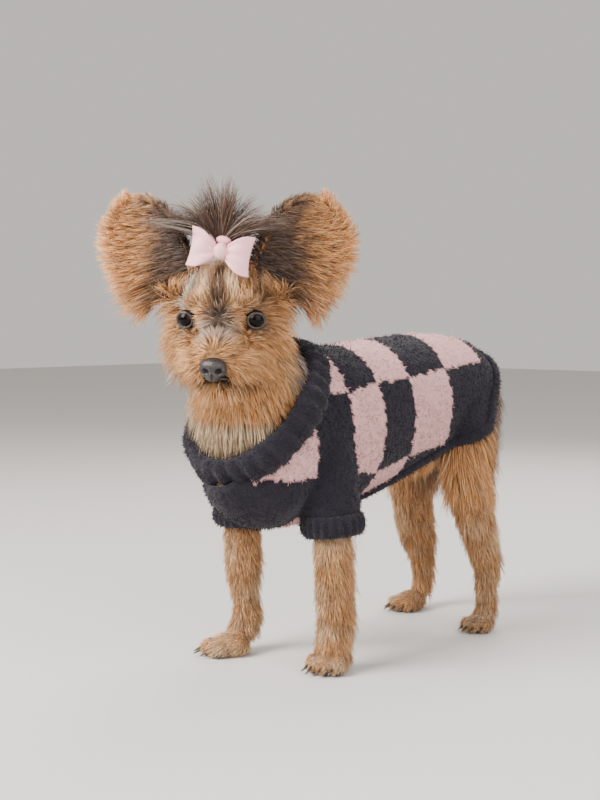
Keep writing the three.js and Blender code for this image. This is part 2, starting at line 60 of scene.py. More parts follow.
KNIT_OUT = (5.2, 5.4)  # how far the jumper stands off the flesh, sideways and up
KNIT_THICK = 2.2
HEM_RADIUS = 3.4
SKIN_VOXEL = 1.5
KNIT_VOXEL = 1.7
NOSE_VOXEL = 0.4
SIDES = ((1, "left"), (-1, "right"))
SEED = 11
SHARE = 1.0  # of the full number of tufts


def turned(at, x=0.0, y=0.0, z=0.0):
    """The matrix that places a form: turned about x, then y, then z, in degrees, and moved to at."""
    turns = [math.radians(a) for a in (x, y, z)]
    return Matrix.Translation(at) @ Euler(turns, "XYZ").to_matrix().to_4x4()


HEAD = turned(HEAD_AT, *HEAD_TURN)


def as_array(matrix):
    return np.array(matrix, float)


def through(matrix, points):
    """Points taken through a matrix, as an array."""
    m = as_array(matrix)
    return np.asarray(points, float) @ m[:3, :3].T + m[:3, 3]


def into(matrix, points):
    """Points in a form's own frame."""
    return through(matrix.inverted(), points)


low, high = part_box("eye_left")
OFFSET = np.array(HEAD @ Vector(EYE_AT)) - np.array((low + high) / 2) * 1000


def to_row(points):
    return (np.asarray(points, float) - OFFSET) / 1000


def from_row(points):
    return np.asarray(points, float) * 1000 + OFFSET


TO_ROW = Matrix.Diagonal((0.001, 0.001, 0.001, 1)) @ Matrix.Translation(-Vector(OFFSET))


def read(items, key, width, kind=np.float32):
    """A property of many mesh elements, as an array of rows."""
    flat = np.empty(len(items) * width, kind)
    items.foreach_get(key, flat)
    return flat.reshape(-1, width)


def mesh_points(mesh):
    return read(mesh.vertices, "co", 3).astype(float)


def set_points(mesh, points):
    """Moves a mesh's points to places in the dog's frame."""
    mesh.vertices.foreach_set("co", to_row(points).astype(np.float32).ravel())
    mesh.update()


def unit(vectors):
    vectors = np.asarray(vectors, float)
    return vectors / np.maximum(np.linalg.norm(vectors, axis=-1, keepdims=True), 1e-9)


def rows_of(x, y, z):
    """Vectors from three parts, each an array or one number."""
    return np.stack(np.broadcast_arrays(x, y, z), axis=1).astype(float)


def mixed(first, second, share):
    share = np.asarray(share, float)
    share = share[:, None] if share.ndim else share
    return first * (1 - share) + second * share


def smooth_step(low_edge, high_edge, value):
    t = np.clip((np.asarray(value, float) - low_edge) / (high_edge - low_edge), 0, 1)
    return t * t * (3 - 2 * t)


def ripple(points, size, seed, octaves=3):
    """A smooth wandering value of about -1 to 1 over points, with features of about size."""
    draw = np.random.default_rng(seed)
    total = np.zeros(len(points))
    for octave in range(octaves):
        for _ in range(5):
            way = unit(draw.normal(size=3)) * (2 * math.pi / size)
            way = way * 1.8**octave * draw.uniform(0.7, 1.3)
            total += np.sin(points @ way + draw.uniform(0, 6.28)) / 1.6**octave
    return total / 4


def patches(points, size, seed, base, swing):
    """A wandering share from 0 to 1 about base."""
    return np.clip(base + swing * ripple(points, size, seed), 0, 1)


# Shader helpers.


class Value:
    """A shader socket that takes part in Python arithmetic."""

    def __init__(self, shade, socket):
        self.shade = shade
        self.socket = socket

    def maths(self, operation, *values):
        return self.shade.node("ShaderNodeMath", {"operation": operation}, values)

    def __mul__(self, other):
        return self.maths("MULTIPLY", self, other)


class Shade:
    """A material, and the one method that adds nodes to it."""

    def __init__(self, name, **constants):
        self.material = bpy.data.materials.new(name)
        self.material.use_nodes = True
        self.tree = self.material.node_tree
        self.surface = self.tree.nodes["Principled BSDF"]
        for socket, value in constants.items():
            self.surface.inputs[socket.replace("_", " ")].default_value = value

    def node(self, kind, settings=None, values=(), out=0):
        made = self.tree.nodes.new(kind)
        for key, value in (settings or {}).items():
            if key == "stops":
                self.set_stops(made.color_ramp, value)
            else:
                setattr(made, key, value)
        pairs = values.items() if isinstance(values, dict) else enumerate(values)
        for key, value in pairs:
            if isinstance(value, Value):
                self.tree.links.new(value.socket, made.inputs[key])
            else:
                made.inputs[key].default_value = value
        return Value(self, made.outputs[out])

    def set_stops(self, ramp, stops):
        while len(ramp.elements) < len(stops):
            ramp.elements.new(0.5)
        for element, (place, colour) in zip(ramp.elements, stops):
            element.position = place
            element.color = (*colour, 1)

    def feed(self, socket, value):
        self.tree.links.new(value.socket, self.surface.inputs[socket])

    def place(self):
        return self.node("ShaderNodeTexCoord", out=3)

    def painted(self):
        """The colour stored on the piece's points."""
        return self.node("ShaderNodeAttribute", {"attribute_name": "Coat"})

    def noise(self, scale, detail=2.0, roughness=0.5):
        values = {"Vector": self.place(), "Scale": scale, "Detail": detail, "Roughness": roughness}
        return self.node("ShaderNodeTexNoise", values=values)

    def blend(self, share, first, second):
        values = {0: share, 6: first, 7: second}
        return self.node("ShaderNodeMix", {"data_type": "RGBA"}, values, out=2)

    def bump(self, height, strength, distance):
        values = {"Height": height, "Strength": strength, "Distance": distance}
        self.feed("Normal", self.node("ShaderNodeBump", values=values))


def colour(*screen):
    """A linear colour from red, green and blue screen values of 0 to 255."""
    return tuple(((c / 255 + 0.055) / 1.055) ** 2.4 if c > 10 else c / 255 / 12.92 for c in screen)


GOLD = np.array(colour(214, 160, 106))
RUST = np.array(colour(186, 128, 78))
CREAM = np.array(colour(232, 204, 168))
BROWN = np.array(colour(112, 84, 66))
DARK = np.array(colour(62, 52, 50))
STEEL = np.array(colour(96, 90, 94))
SILVER = np.array(colour(172, 162, 152))
NAVY = np.array(colour(30, 26, 37))
PINK = np.array(colour(243, 190, 187))


def coat_material():
    shade = Shade("silky_coat", Roughness=0.48, Specular_IOR_Level=0.35)
    shade.feed("Base Color", shade.painted())
    return shade.material


def skin_material():
    shade = Shade("skin", Roughness=0.7, Specular_IOR_Level=0.25)
    grain = shade.noise(900.0, 3.0)
    shade.feed("Base Color", shade.blend(grain * 0.5, shade.painted(), (0.06, 0.04, 0.035, 1)))
    shade.bump(grain, 0.4, 0.0006)
    return shade.material


def yarn_material():
    shade = Shade("chenille_yarn", Roughness=0.92, Specular_IOR_Level=0.12, Sheen_Weight=0.08,
                  Sheen_Roughness=0.6)
    clumps = shade.noise(420.0, 3.0, 0.6)
    shade.feed("Base Color", shade.blend(clumps * 0.28, shade.painted(), (0.02, 0.018, 0.022, 1)))
    shade.bump(clumps, 0.8, 0.0015)
    return shade.material


def ribbon_material():
    shade = Shade("pink_satin", Roughness=0.42, Sheen_Weight=0.35, Sheen_Roughness=0.35, Coat_Roughness=0.4)
    threads = shade.node("ShaderNodeMapping", values={"Vector": shade.place(), "Scale": (1.0, 1.0, 9.0)})
    weave = shade.node("ShaderNodeTexNoise", values={"Vector": threads, "Scale": 1500.0, "Detail": 2.0})
    warm = shade.noise(60.0, 2.0)
    shade.feed("Base Color", shade.blend(warm, (*colour(232, 160, 168), 1), (*colour(242, 184, 188), 1)))
    shade.bump(weave, 0.12, 0.0003)
    return shade.material


def eye_material(centre, axis):
    """Dark brown iris with a black pupil and limb, measured from the eye's own axis."""
    shade = Shade("eye", Roughness=0.05, Specular_IOR_Level=0.22, IOR=1.33)
    kind = "ShaderNodeVectorMath"
    away = shade.node(kind, {"operation": "SUBTRACT"}, [shade.place(), tuple(centre)])
    heading = shade.node(kind, {"operation": "NORMALIZE"}, [away])
    facing = shade.node(kind, {"operation": "DOT_PRODUCT"}, [heading, tuple(axis)], out=1)
    stops = [
        (0.0, colour(30, 18, 14)),
        (0.62, colour(20, 12, 10)),
        (0.74, colour(28, 16, 12)),
        (0.86, colour(24, 14, 10)),
        (0.9, colour(6, 4, 4)),
    ]
    shade.feed("Base Color", shade.node("ShaderNodeValToRGB", {"stops": stops}, [facing]))
    return shade.material


def leather_material(name, base, roughness, size, depth):
    shade = Shade(name, Roughness=roughness, Coat_Weight=0.15, Coat_Roughness=0.3)
    values = {"Vector": shade.place(), "Scale": size}
    pebbles = shade.node("ShaderNodeTexVoronoi", values=values)
    tone = shade.noise(size * 0.3, 2.0)
    lighter = tuple(min(1, c * 1.9 + 0.004) for c in base)
    shade.feed("Base Color", shade.blend(tone, (*base, 1), (*lighter, 1)))
    shade.bump(pebbles, 0.5, depth)
    return shade.material


def horn_material():
    shade = Shade("claw_horn", Roughness=0.35)
    streaks = shade.noise(700.0, 3.0)
    shade.feed("Base Color", shade.blend(streaks, (*colour(40, 32, 28), 1), (*colour(88, 72, 60), 1)))
    return shade.material


def floor_material():
    shade = Shade("pale_floor", Roughness=0.75)
    grain = shade.noise(3.0, 2.0)
    shade.feed("Base Color", shade.blend(grain * 0.4, (0.62, 0.60, 0.58, 1), (0.58, 0.56, 0.54, 1)))
    return shade.material


# Mesh helpers.


def link(name, mesh, material, smooth=True):
    piece = bpy.data.objects.new(name, mesh)
    bpy.context.scene.collection.objects.link(piece)
    mesh.materials.append(material)
    mesh.polygons.foreach_set("use_smooth", np.full(len(mesh.polygons), smooth))
    return piece


def finished(name, bm, material, smooth=True):
    """An object from a bmesh given in millimetres in the dog's frame."""
    bmesh.ops.transform(bm, matrix=TO_ROW, verts=bm.verts)
    bmesh.ops.recalc_face_normals(bm, faces=bm.faces)
    mesh = bpy.data.meshes.new(name)
    bm.to_mesh(mesh)
    bm.free()
    return link(name, mesh, material, smooth)


def applied(piece):
    """Applies a piece's modifiers."""
    graph = bpy.context.evaluated_depsgraph_get()
    mesh = bpy.data.meshes.new_from_object(piece.evaluated_get(graph), depsgraph=graph)
    piece.modifiers.clear()
    old = piece.data
    piece.data = mesh
    bpy.data.meshes.remove(old)
    return piece


def remeshed(piece, voxel, rounds, factor=0.5):
    """Joins a piece's crossing forms into one even skin and smooths it."""
    modifier = piece.modifiers.new("join", "REMESH")
    modifier.mode = "VOXEL"
    modifier.voxel_size = voxel / 1000
    soften = piece.modifiers.new("soften", "SMOOTH")
    soften.factor = factor
    soften.iterations = rounds
    return applied(piece)


def add_ball(bm, at, size, base=Matrix.Identity(4), segments=28):
    """An ellipsoid with half sizes size."""
    place = base @ Matrix.Translation(at) @ Matrix.Diagonal((*size, 1))
    bmesh.ops.create_uvsphere(bm, u_segments=segments, v_segments=segments // 2 + 2, radius=1, matrix=place)


def along(stations, steps):
    """Smooth stations between stations given as rows of numbers."""
    rows = np.array(stations, float)
    padded = np.vstack([2 * rows[0] - rows[1], rows, 2 * rows[-1] - rows[-2]])
    made = []
    for i in range(len(rows) - 1):
        a, b, c, d = padded[i : i + 4]
        for t in np.arange(steps) / steps:
            square = (2 * a - 5 * b + 4 * c - d) * t**2
            cube = (3 * b - a - 3 * c + d) * t**3
            made.append(0.5 * (2 * b + (c - a) * t + square + cube))
    made.append(rows[-1])
    return np.array(made)


def ball(at, size, base=Matrix.Identity(4)):
    """The matrix that turns a unit ball into an ellipsoid with half sizes size."""
    return base @ Matrix.Translation(at) @ Matrix.Diagonal((*size, 1))


def limb_balls(stations, grow, steps=5):
    """A limb as overlapping balls along stations of [x, y, z, half width, half depth]."""
    rows = along(stations, steps)
    made = []
    for row, way in zip(rows, unit(np.gradient(rows[:, :3], axis=0))):
        wide, deep = row[3] + grow, row[4] + grow
        axis = Vector(way)
        side = Vector((1, 0, 0))
        across = (side - axis * side.dot(axis)).normalized()
        turn = Matrix((across, axis.cross(across), axis)).transposed().to_4x4()
        size = (wide, deep, min(wide, deep) * 0.9)
        made.append(ball((0, 0, 0), size, Matrix.Translation(row[:3]) @ turn))
    return made


def mesh_of(name, points, corners, starts):
    """A mesh from arrays of points, face corners and the places where faces start."""
    mesh = bpy.data.meshes.new(name)
    mesh.vertices.add(len(points))
    mesh.vertices.foreach_set("co", np.asarray(points, np.float32).ravel())
    mesh.loops.add(len(corners))
    mesh.loops.foreach_set("vertex_index", np.asarray(corners, np.int32))
    mesh.polygons.add(len(starts))
    mesh.polygons.foreach_set("loop_start", np.asarray(starts, np.int32))
    mesh.update(calc_edges=True)
    return mesh


def joined_balls(name, matrices):
    """One mesh of many balls, copied from one."""
    bm = bmesh.new()
    bmesh.ops.create_uvsphere(bm, u_segments=24, v_segments=14, radius=1)
    one = bpy.data.meshes.new("ball")
    bm.to_mesh(one)
    bm.free()
    points = mesh_points(one)
    corners = np.array([loop.vertex_index for loop in one.loops])
    starts = np.array([polygon.loop_start for polygon in one.polygons])
    places = np.concatenate([through(matrix, points) for matrix in matrices])
    step = np.arange(len(matrices))[:, None]
    bpy.data.meshes.remove(one)
    corners, starts = corners + step * len(points), starts + step * len(corners)
    return mesh_of(name, places, corners.ravel(), starts.ravel())


def add_ring(bm, base, wide, deep, shape, around=120, section=16):
    """A closed band round an ellipse: shape(angle, out, up) gives each point's step out and up."""
    big = 10.0
    start = Matrix.Translation((big, 0, 0)) @ Matrix.Rotation(math.pi / 2, 4, "X")
    bmesh.ops.create_circle(bm, segments=section, radius=1, matrix=start)
    circle = bm.verts[:] + bm.edges[:]
    turn = {"cent": (0, 0, 0), "axis": (0, 0, 1), "angle": 2 * math.pi, "steps": around}
    bmesh.ops.spin(bm, geom=circle, use_merge=True, **turn)
    for vert in bm.verts:
        if vert.tag:
            continue
        angle = math.atan2(vert.co.y, vert.co.x)
        out, up = shape(angle, math.hypot(vert.co.x, vert.co.y) - big, vert.co.z)
        vert.co = base @ Vector(((wide + out) * math.cos(angle), (deep + out) * math.sin(angle), up))
        vert.tag = True


# The dog's flesh, as the core that its coat grows from.


def mirrored(rows):
    return rows + [((-at[0], at[1], at[2]), size) for at, size in rows]


SKULL = [
    ((0, 5, 8), (24, 29, 21.5)),
    ((0, -10, 13), (17, 14, 12)),
    ((0, 4, -12), (19, 19, 14)),
    ((0, -29, -13), (9.6, 14.5, 8.6)),
    ((0, -38, -17.5), (8, 7.2, 7)),
    ((0, -25, -31), (9.4, 12, 5.4)),
    ((0, -8, -28), (13, 14, 7)),
] + mirrored([
    ((21, -2, -11), (9.5, 15, 14)),
    ((8.6, -31, -20), (7.2, 9.5, 7)),
    ((13, -17.5, 12.5), (7, 5, 3.4)),
    ((17, -15, -10.5), (7.2, 7.2, 6.2)),
])
NECK = [[0, -86, 146, 33, 37], [0, -103, 165, 31, 35], [0, -114, 185, 26, 28], [0, -122, 203, 22, 24]]
TRUNK = [
    [-124, 118.5, 14, 18], [-110, 123, 31, 31], [-95, 130.5, 34.5, 40], [-70, 139.5, 36.5, 48],
    [-35, 144.5, 38, 45], [5, 150, 36.5, 43], [45, 154.5, 35, 41], [85, 157.5, 33, 36],
    [104, 155, 28, 32], [114, 152, 21, 24],
]
LIMBS = {
    "foreleg_left": [
        [27, -72, 138, 12, 19], [33, -74, 112, 13, 16.5], [37, -77, 88, 12.6, 14],
        [38, -77, 61, 12, 13.6], [38, -76, 43, 11.8, 13.3], [38, -75, 31, 11.8, 13.2],
        [38, -77, 19, 11.6, 12.6], [38, -78, 11, 11, 12],
    ],
    "foreleg_right": [
        [-27, -72, 138, 12, 19], [-33, -74, 112, 13, 16.5], [-37, -78, 88, 12.6, 13.8],
        [-38, -77, 60, 11.8, 12.8], [-38, -75.5, 43, 9.8, 10.8], [-38, -74, 33, 9, 9.8],
        [-38, -73.5, 24, 9.8, 11], [-38, -77, 15, 10, 10.6], [-38.5, -81, 10, 9.5, 9.5],
    ],
    "hindleg_left": [
        [21, 84, 160, 13, 27], [29, 73, 132, 15.5, 24], [34, 66, 108, 13.5, 21], [37.5, 67, 86, 12, 18.5],
        [39, 75, 62, 10, 15], [39, 82, 46, 9, 13], [39, 81, 33, 8.2, 10], [39, 82, 20, 7.8, 8.4],
        [39, 80, 12, 8, 8.6],
    ],
    "hindleg_right": [
        [-21, 96, 160, 13, 27], [-29, 98, 134, 15.5, 28], [-34, 99, 108, 13.5, 25], [-37.5, 99, 86, 12, 21],
        [-39, 104, 65, 10.5, 19], [-39, 110, 50, 9.5, 16.5], [-39, 112, 41, 8.5, 13],
        [-39, 114, 27, 8, 10.5], [-39, 111, 13, 7.8, 9],
    ],
}
TAIL = [[-2, 110, 174, 7, 7], [-3, 128, 172, 5.5, 5.5], [-5, 139, 158, 4.4, 4.4], [-6, 142, 140, 3, 3]]
PAWS = {
    "foreleg_left": ((38, -78, 0), 3, 1.0),
    "foreleg_right": ((-38, -90, 0), -46, 1.0),
    "hindleg_left": ((39, 75, 0), 3, 0.84),
    "hindleg_right": ((-39, 98, 0), -16, 0.94),
}
TOES = [(-9.4, -6, -14), (-3.4, -10.5, -4), (3.4, -10.5, 4), (9.4, -6, 14)]
FLESH_DEPTH = 2.2  # how far the skin of the trunk and legs lies inside the coat's outline

EAR = {"base": (28, 4, 14), "height": 59, "width": 49, "cup": 11, "thick": 2.9}
EAR_TURN = {"lean": 29, "face": 20, "back": 4}


def ear_frame(side):
    at = (side * EAR["base"][0], *EAR["base"][1:])
    return HEAD @ turned(at, EAR_TURN["back"], side * EAR_TURN["lean"], side * EAR_TURN["face"])


def ear_points(u, v):
    """Points of the ear's leather in its own frame: u runs across it and v from the base to the tip."""
    u, v = np.broadcast_arrays(np.asarray(u, float), np.asarray(v, float))
    bow = 2 * u - 1
    rise = np.clip(v, 0, 1)
    wide = np.maximum(EAR["width"] * (0.7 + 0.72 * rise - 0.45 * rise**2) * np.sqrt(1 - rise**4.5), 5)
    depth = EAR["cup"] * (1 - 0.5 * rise) * np.minimum(wide / EAR["width"], 1)
    return np.stack([bow * wide / 2, depth * (0.4 - bow**2) - 3 * rise**2, v * EAR["height"]], axis=-1)


def add_ear(bm, side):
    first = len(bm.faces)
    grid = bmesh.ops.create_grid(bm, x_segments=14, y_segments=18, size=1)["verts"]
    uv = np.array([vert.co[:2] for vert in grid]) / 2 + 0.5
    for vert, point in zip(grid, through(ear_frame(side), ear_points(uv[:, 0], uv[:, 1]))):
        vert.co = point
    bm.faces.ensure_lookup_table()
    bmesh.ops.solidify(bm, geom=grid + bm.faces[first:], thickness=EAR["thick"])


def paw_balls(name, grow):
    at, turn, size = PAWS[name]
    base = turned(at, 0, 0, turn) @ Matrix.Scale(size, 4)
    palm = [ball((0, 2, 7), (11 + grow, 13 + grow, 9.5 + grow), base)]
    toe = (4.3 + grow * 0.6, 7.6 + grow, 5.8 + grow * 0.6)
    return palm + [ball((x, y, 6), toe, base) for x, y, turn_out in TOES]


def trunk_balls(reach, wider, higher):
    """The trunk as close-set balls of half length reach."""
    rows = along(TRUNK, 10)
    return [ball((0, y, z), (wide + wider, reach, high + higher)) for y, z, wide, high in rows]


def make_skin():
    balls = [ball(at, size, HEAD) for at, size in SKULL]
    balls += [ball((0, 2, -1), (10, 7, 10), ear_frame(side)) for side in (1, -1)]
    balls += limb_balls(NECK, 0) + limb_balls(TAIL, 0) + trunk_balls(12, -1, -1)
    for name, rows in LIMBS.items():
        balls += limb_balls(rows, -FLESH_DEPTH) + paw_balls(name, -1.3)
    bm = bmesh.new()
    bm.from_mesh(joined_balls("flesh", balls))
    for side in (1, -1):
        add_ear(bm, side)
    skin = remeshed(finished("skin", bm, skin_material()), SKIN_VOXEL, 4)
    shape_sockets(skin)
    return skin


EYE_TURN = 16  # degrees that each eye faces outwards


def eye_parts(side):
    """An eye's centre, its axis, and its sideways and upward directions, in the dog's frame."""
    frame_of_eye = HEAD @ turned((side * EYE_AT[0], *EYE_AT[1:]), 0, 0, side * EYE_TURN)
    m = as_array(frame_of_eye)
    return m[:3, 3] + m[:3, 1] * EYE_SINK, -m[:3, 1], m[:3, 0], m[:3, 2]


def shape_sockets(skin):
    """Opens the lids round each eye, and keeps the skin above the floor."""
    points = from_row(mesh_points(skin.data))
    for side in (1, -1):
        centre, axis, across, up = eye_parts(side)
        ray = points - centre
        far = np.linalg.norm(ray, axis=1)
        way = ray / far[:, None]
        sideways, height = way @ across, way @ up
        open_by = np.hypot(sideways / 0.86, (height + 0.02) / 0.74)
        seen = (way @ axis > 0.2) & (far < 9.5)
        lid = EYE_RADIUS + 0.9
        inside = seen & (open_by < 1)
        rim = seen & (open_by >= 1)
        points[inside] = centre + way[inside] * (EYE_RADIUS - 1.3)
        reach = np.maximum(far, lid)
        points[rim] = centre + way[rim] * reach[rim, None]
    points[:, 2] = np.maximum(points[:, 2], 0.4)
    set_points(skin.data, points)


# Where things lie on the dog.

COLLAR_AT = np.array([0, -102, 157.0])
COLLAR_LEAN = 49
COLLAR_WIDE = 37
COLLAR_DEEP = 43
COLLAR_WAY = np.array([0, -math.sin(math.radians(COLLAR_LEAN)), math.cos(math.radians(COLLAR_LEAN))])
HEM = [((0, 94, 163), (0, 50, -44)), ((0, 28, 121), (0, 34, -88))]  # a point of each plane, its way out
CUFF_END = 86


def past_collar(points):
    return (points - COLLAR_AT) @ COLLAR_WAY


def in_collar_ring(points):
    """How far points lie from the collar's axis, as a share of its opening."""
    away = points - COLLAR_AT
    flat = away - past_collar(points)[:, None] * COLLAR_WAY
    return np.hypot(flat[:, 0] / COLLAR_WIDE, np.linalg.norm(flat[:, 1:], axis=1) / COLLAR_DEEP)


def past_hem(points):
    """How far points lie below the hem of the jumper's body."""
    return np.max([(points - np.array(at)) @ unit(way) for at, way in HEM], axis=0)


def sample(mesh, uv, density, seed=SEED, sort=False):
    """Points spread over a mesh, with normals and map places. density(points) is per square mm.

    sort puts the faces in order of place, for a mesh whose own order can change between runs.
    """
    mesh.calc_loop_triangles()
    count = len(mesh.loop_triangles)
    corners = read(mesh.loop_triangles, "vertices", 3, np.int32)
    loops = read(mesh.loop_triangles, "loops", 3, np.int32)
    points = from_row(mesh_points(mesh))
    normals = read(mesh.vertices, "normal", 3).astype(float)
    a, b, c = (points[corners[:, k]] for k in range(3))
    area = np.linalg.norm(np.cross(b - a, c - a), axis=1) / 2
    middle = (a + b + c) / 3
    wanted = area * density(middle)
    draw = np.random.default_rng(seed)
    if sort:
        order = np.lexsort(np.round(middle, 2).T)
        reach = np.cumsum(wanted[order])
        picked = order[np.searchsorted(reach, draw.random(int(reach[-1])) * reach[-1])]
    else:
        number = np.floor(wanted + draw.random(count)).astype(int)
        picked = np.repeat(np.arange(count), number)
    r = np.sqrt(draw.random(len(picked)))
    s = draw.random(len(picked))
    weights = np.stack([1 - r, r * (1 - s), r * s], axis=1)[:, :, None]
    at = (points[corners[picked]] * weights).sum(axis=1)
    normal = unit((normals[corners[picked]] * weights).sum(axis=1))
    place = (uv[loops[picked]] * weights).sum(axis=1)
    return at, normal, place


def unwrapped(piece):
    """Gives a piece its own unwrap, named OFBake, and returns it as an array."""
    bpy.context.view_layer.objects.active = piece
    piece.select_set(True)
    piece.data.uv_layers.new(name="OFBake")
    bpy.ops.object.mode_set(mode="EDIT")
    bpy.ops.mesh.select_all(action="SELECT")
    bpy.ops.uv.smart_project(angle_limit=math.radians(66), island_margin=0.001)
    bpy.ops.object.mode_set(mode="OBJECT")
    piece.select_set(False)
    return read(piece.data.uv_layers["OFBake"].data, "uv", 2).astype(float)


def paint(mesh, colours):
    """Stores a colour for each point of a mesh."""
    layer = mesh.attributes.new("Coat", "FLOAT_COLOR", "POINT")
    rgba = np.ones((len(mesh.vertices), 4), np.float32)
    rgba[:, :3] = np.clip(colours, 0, 1)
    layer.data.foreach_set("color", rgba.ravel())


# Tufts.

PATCH = 0.003
ROOT_SINK = 0.6


class Tufts:
    """A crop of hair tufts: where each is rooted, how it lies, and its colours."""

    def __init__(self, at, normal, place, lie, length, width, lift, root_colour, tip_colour):
        count = len(at)
        self.at, self.normal, self.place = at, unit(normal), place
        flat = lie - self.normal * np.sum(lie * self.normal, axis=1, keepdims=True)
        self.lie = unit(flat + 1e-6)
        self.length = np.broadcast_to(length, count).astype(float)
        self.width = np.broadcast_to(width, count).astype(float)
        self.lift = np.radians(np.broadcast_to(lift, count)).astype(float)
        self.root_colour = np.broadcast_to(root_colour, (count, 3))
        self.tip_colour = np.broadcast_to(tip_colour, (count, 3))

    def pick(self, mask):
        made = Tufts.__new__(Tufts)
        for key, value in vars(self).items():
            setattr(made, key, value[mask])
        return made


def tuft_piece(name, tufts, rings, bend, clump, material, seed):
    """One mesh of three-sided tapering tufts. bend is added towards the tips, and clump gathers them."""
    draw = np.random.default_rng(seed)
    count = len(tufts.at)
    along_tuft = np.cos(tufts.lift)[:, None] * tufts.lie + np.sin(tufts.lift)[:, None] * tufts.normal
    side = unit(np.cross(along_tuft, tufts.normal))
    over = np.cross(side, along_tuft)
    reach = tufts.length[:, None]
    tips = tufts.at + along_tuft * reach + bend * reach
    if clump > 0 and count > 40:
        leaders = draw.choice(count, max(count // 9, 8), replace=False)
        tree = KDTree(len(leaders))
        for i, leader in enumerate(leaders):
            tree.insert(tufts.at[leader] + along_tuft[leader] * tufts.length[leader] * 0.5, i)
        tree.balance()
        half = tufts.at + along_tuft * reach * 0.5
        leader_of = leaders[[tree.find(point)[1] for point in half]]
        pull = (tips[leader_of] - tips) * clump
        size = np.linalg.norm(pull, axis=1, keepdims=True)
        pull *= np.minimum(1, 0.45 * reach / np.maximum(size, 1e-6))
    else:
        pull = np.zeros_like(tips)
    wave = draw.normal(size=(count, 3)) * 0.05 * reach
    base = tufts.at - tufts.normal * ROOT_SINK
    levels = np.arange(rings + 1) / rings
    points = np.empty((count, rings * 3 + 1, 3))
    colours = np.empty((count, rings * 3 + 1, 3))
    for level, t in enumerate(levels):
        middle = base + along_tuft * reach * t + (bend * reach + pull) * t**2 + wave * math.sin(math.pi * t)
        tint = tufts.root_colour * (1 - t) + tufts.tip_colour * t
        if level == rings:
            points[:, -1] = middle
            colours[:, -1] = tint
            continue
        thick = (tufts.width * (1 - 0.75 * t**1.5))[:, None] / 2
        for k in range(3):
            a = 2 * math.pi * k / 3 + math.pi / 2
            across = side * math.cos(a) + over * 0.6 * math.sin(a)
            points[:, level * 3 + k] = middle + across * thick
            colours[:, level * 3 + k] = tint
    quads = [
        (level * 3 + k, level * 3 + (k + 1) % 3, level * 3 + 3 + (k + 1) % 3, level * 3 + 3 + k)
        for level in range(rings - 1)
        for k in range(3)
    ]
    last = (rings - 1) * 3
    ends = [(last + k, last + (k + 1) % 3, rings * 3) for k in range(3)] + [(2, 1, 0)]
    per = rings * 3 + 1
    pattern = np.array([i for face in quads + ends for i in face])
    sizes = np.array([len(face) for face in quads + ends])
    corner = (np.arange(count)[:, None] * per + pattern).ravel()
    starts = np.concatenate([[0], np.cumsum(np.tile(sizes, count))[:-1]])
    points[..., 2] = np.maximum(points[..., 2], 0.2)
    mesh = mesh_of(name, to_row(points.reshape(-1, 3)), corner, starts)
    paint(mesh, colours.reshape(-1, 3))
    spread = np.array([[(k % 3) / 3, k // 3 / rings] for k in range(per)]) * PATCH
    places = (tufts.place[:, None, :] + spread).reshape(-1, 2)
    layer = mesh.uv_layers.new(name="OFBake")
    layer.data.foreach_set("uv", places[corner].astype(np.float32).ravel())
    return link(name, mesh, material)


# The coat.

NOSE_TIP = np.array([0, -46, -17.0])
TIE = np.array([0, -14, 43.0])


def head_weight(q):
    """How far points, in the head's frame, belong to the head rather than the neck."""
    chin = (q[:, 1] < -4) & (q[:, 2] > -50)
    crown = q[:, 2] > -14 - 0.5 * np.maximum(q[:, 1], 0)
    return chin | crown


def in_ear(q, side):
    e = into(HEAD.inverted() @ ear_frame(side), q)
    return (e[:, 2] > 5) & (np.abs(e[:, 0]) < 30) & (np.abs(e[:, 1]) < 12) & (np.abs(q[:, 0]) > 20)


def distance(q, at, stretch=1.0):
    return np.linalg.norm((q - np.array(at, float)) / np.array(stretch), axis=1)


def eye_distance(q):
    return np.minimum(*[distance(q, (side * EYE_AT[0], *EYE_AT[1:])) for side in (1, -1)])


def nose_distance(q):
    return distance(q, (0, -47, -20), (1.05, 1.0, 0.95))


def region_of(points):
    """Each point's part of the coat, by name."""
    q = into(HEAD, points)
    name = np.full(len(points), "body", dtype="U8")
    covered = (past_hem(points) < -1.5) & (past_collar(points) < 0) & (points[:, 2] > CUFF_END - 3)
    legs = (points[:, 2] < 100) & (np.abs(points[:, 0]) > 20)
    name[legs & (points[:, 1] < 0)] = "foreleg"
    name[legs & (points[:, 1] > 0)] = "hindleg"
    name[(points[:, 1] > 40) & (points[:, 2] >= 100)] = "rump"
    name[(points[:, 1] > 126) | ((points[:, 1] > 118) & (points[:, 2] > 168))] = "tail"
    name[points[:, 2] < 15] = "paw"
    neck = past_collar(points) > 0
    name[neck] = np.where(in_collar_ring(points)[neck] < 0.93, "neck", "none")
    head = neck & head_weight(q)
    name[head] = "face"
    name[head & (q[:, 2] > 9) & (q[:, 1] < 4)] = "crown"
    name[head & (q[:, 1] > -12) & (np.abs(q[:, 0]) > 13) & (q[:, 2] <= 9)] = "cheek"
    name[head & (q[:, 1] > 4)] = "nape"
    name[head & (q[:, 2] < -27)] = "beard"
    for side in (1, -1):
        name[head & in_ear(q, side)] = "none"
    name[head & ((nose_distance(q) < 7.5) | (eye_distance(q) < 7.2))] = "none"
    name[covered & ~neck] = "none"
    return name


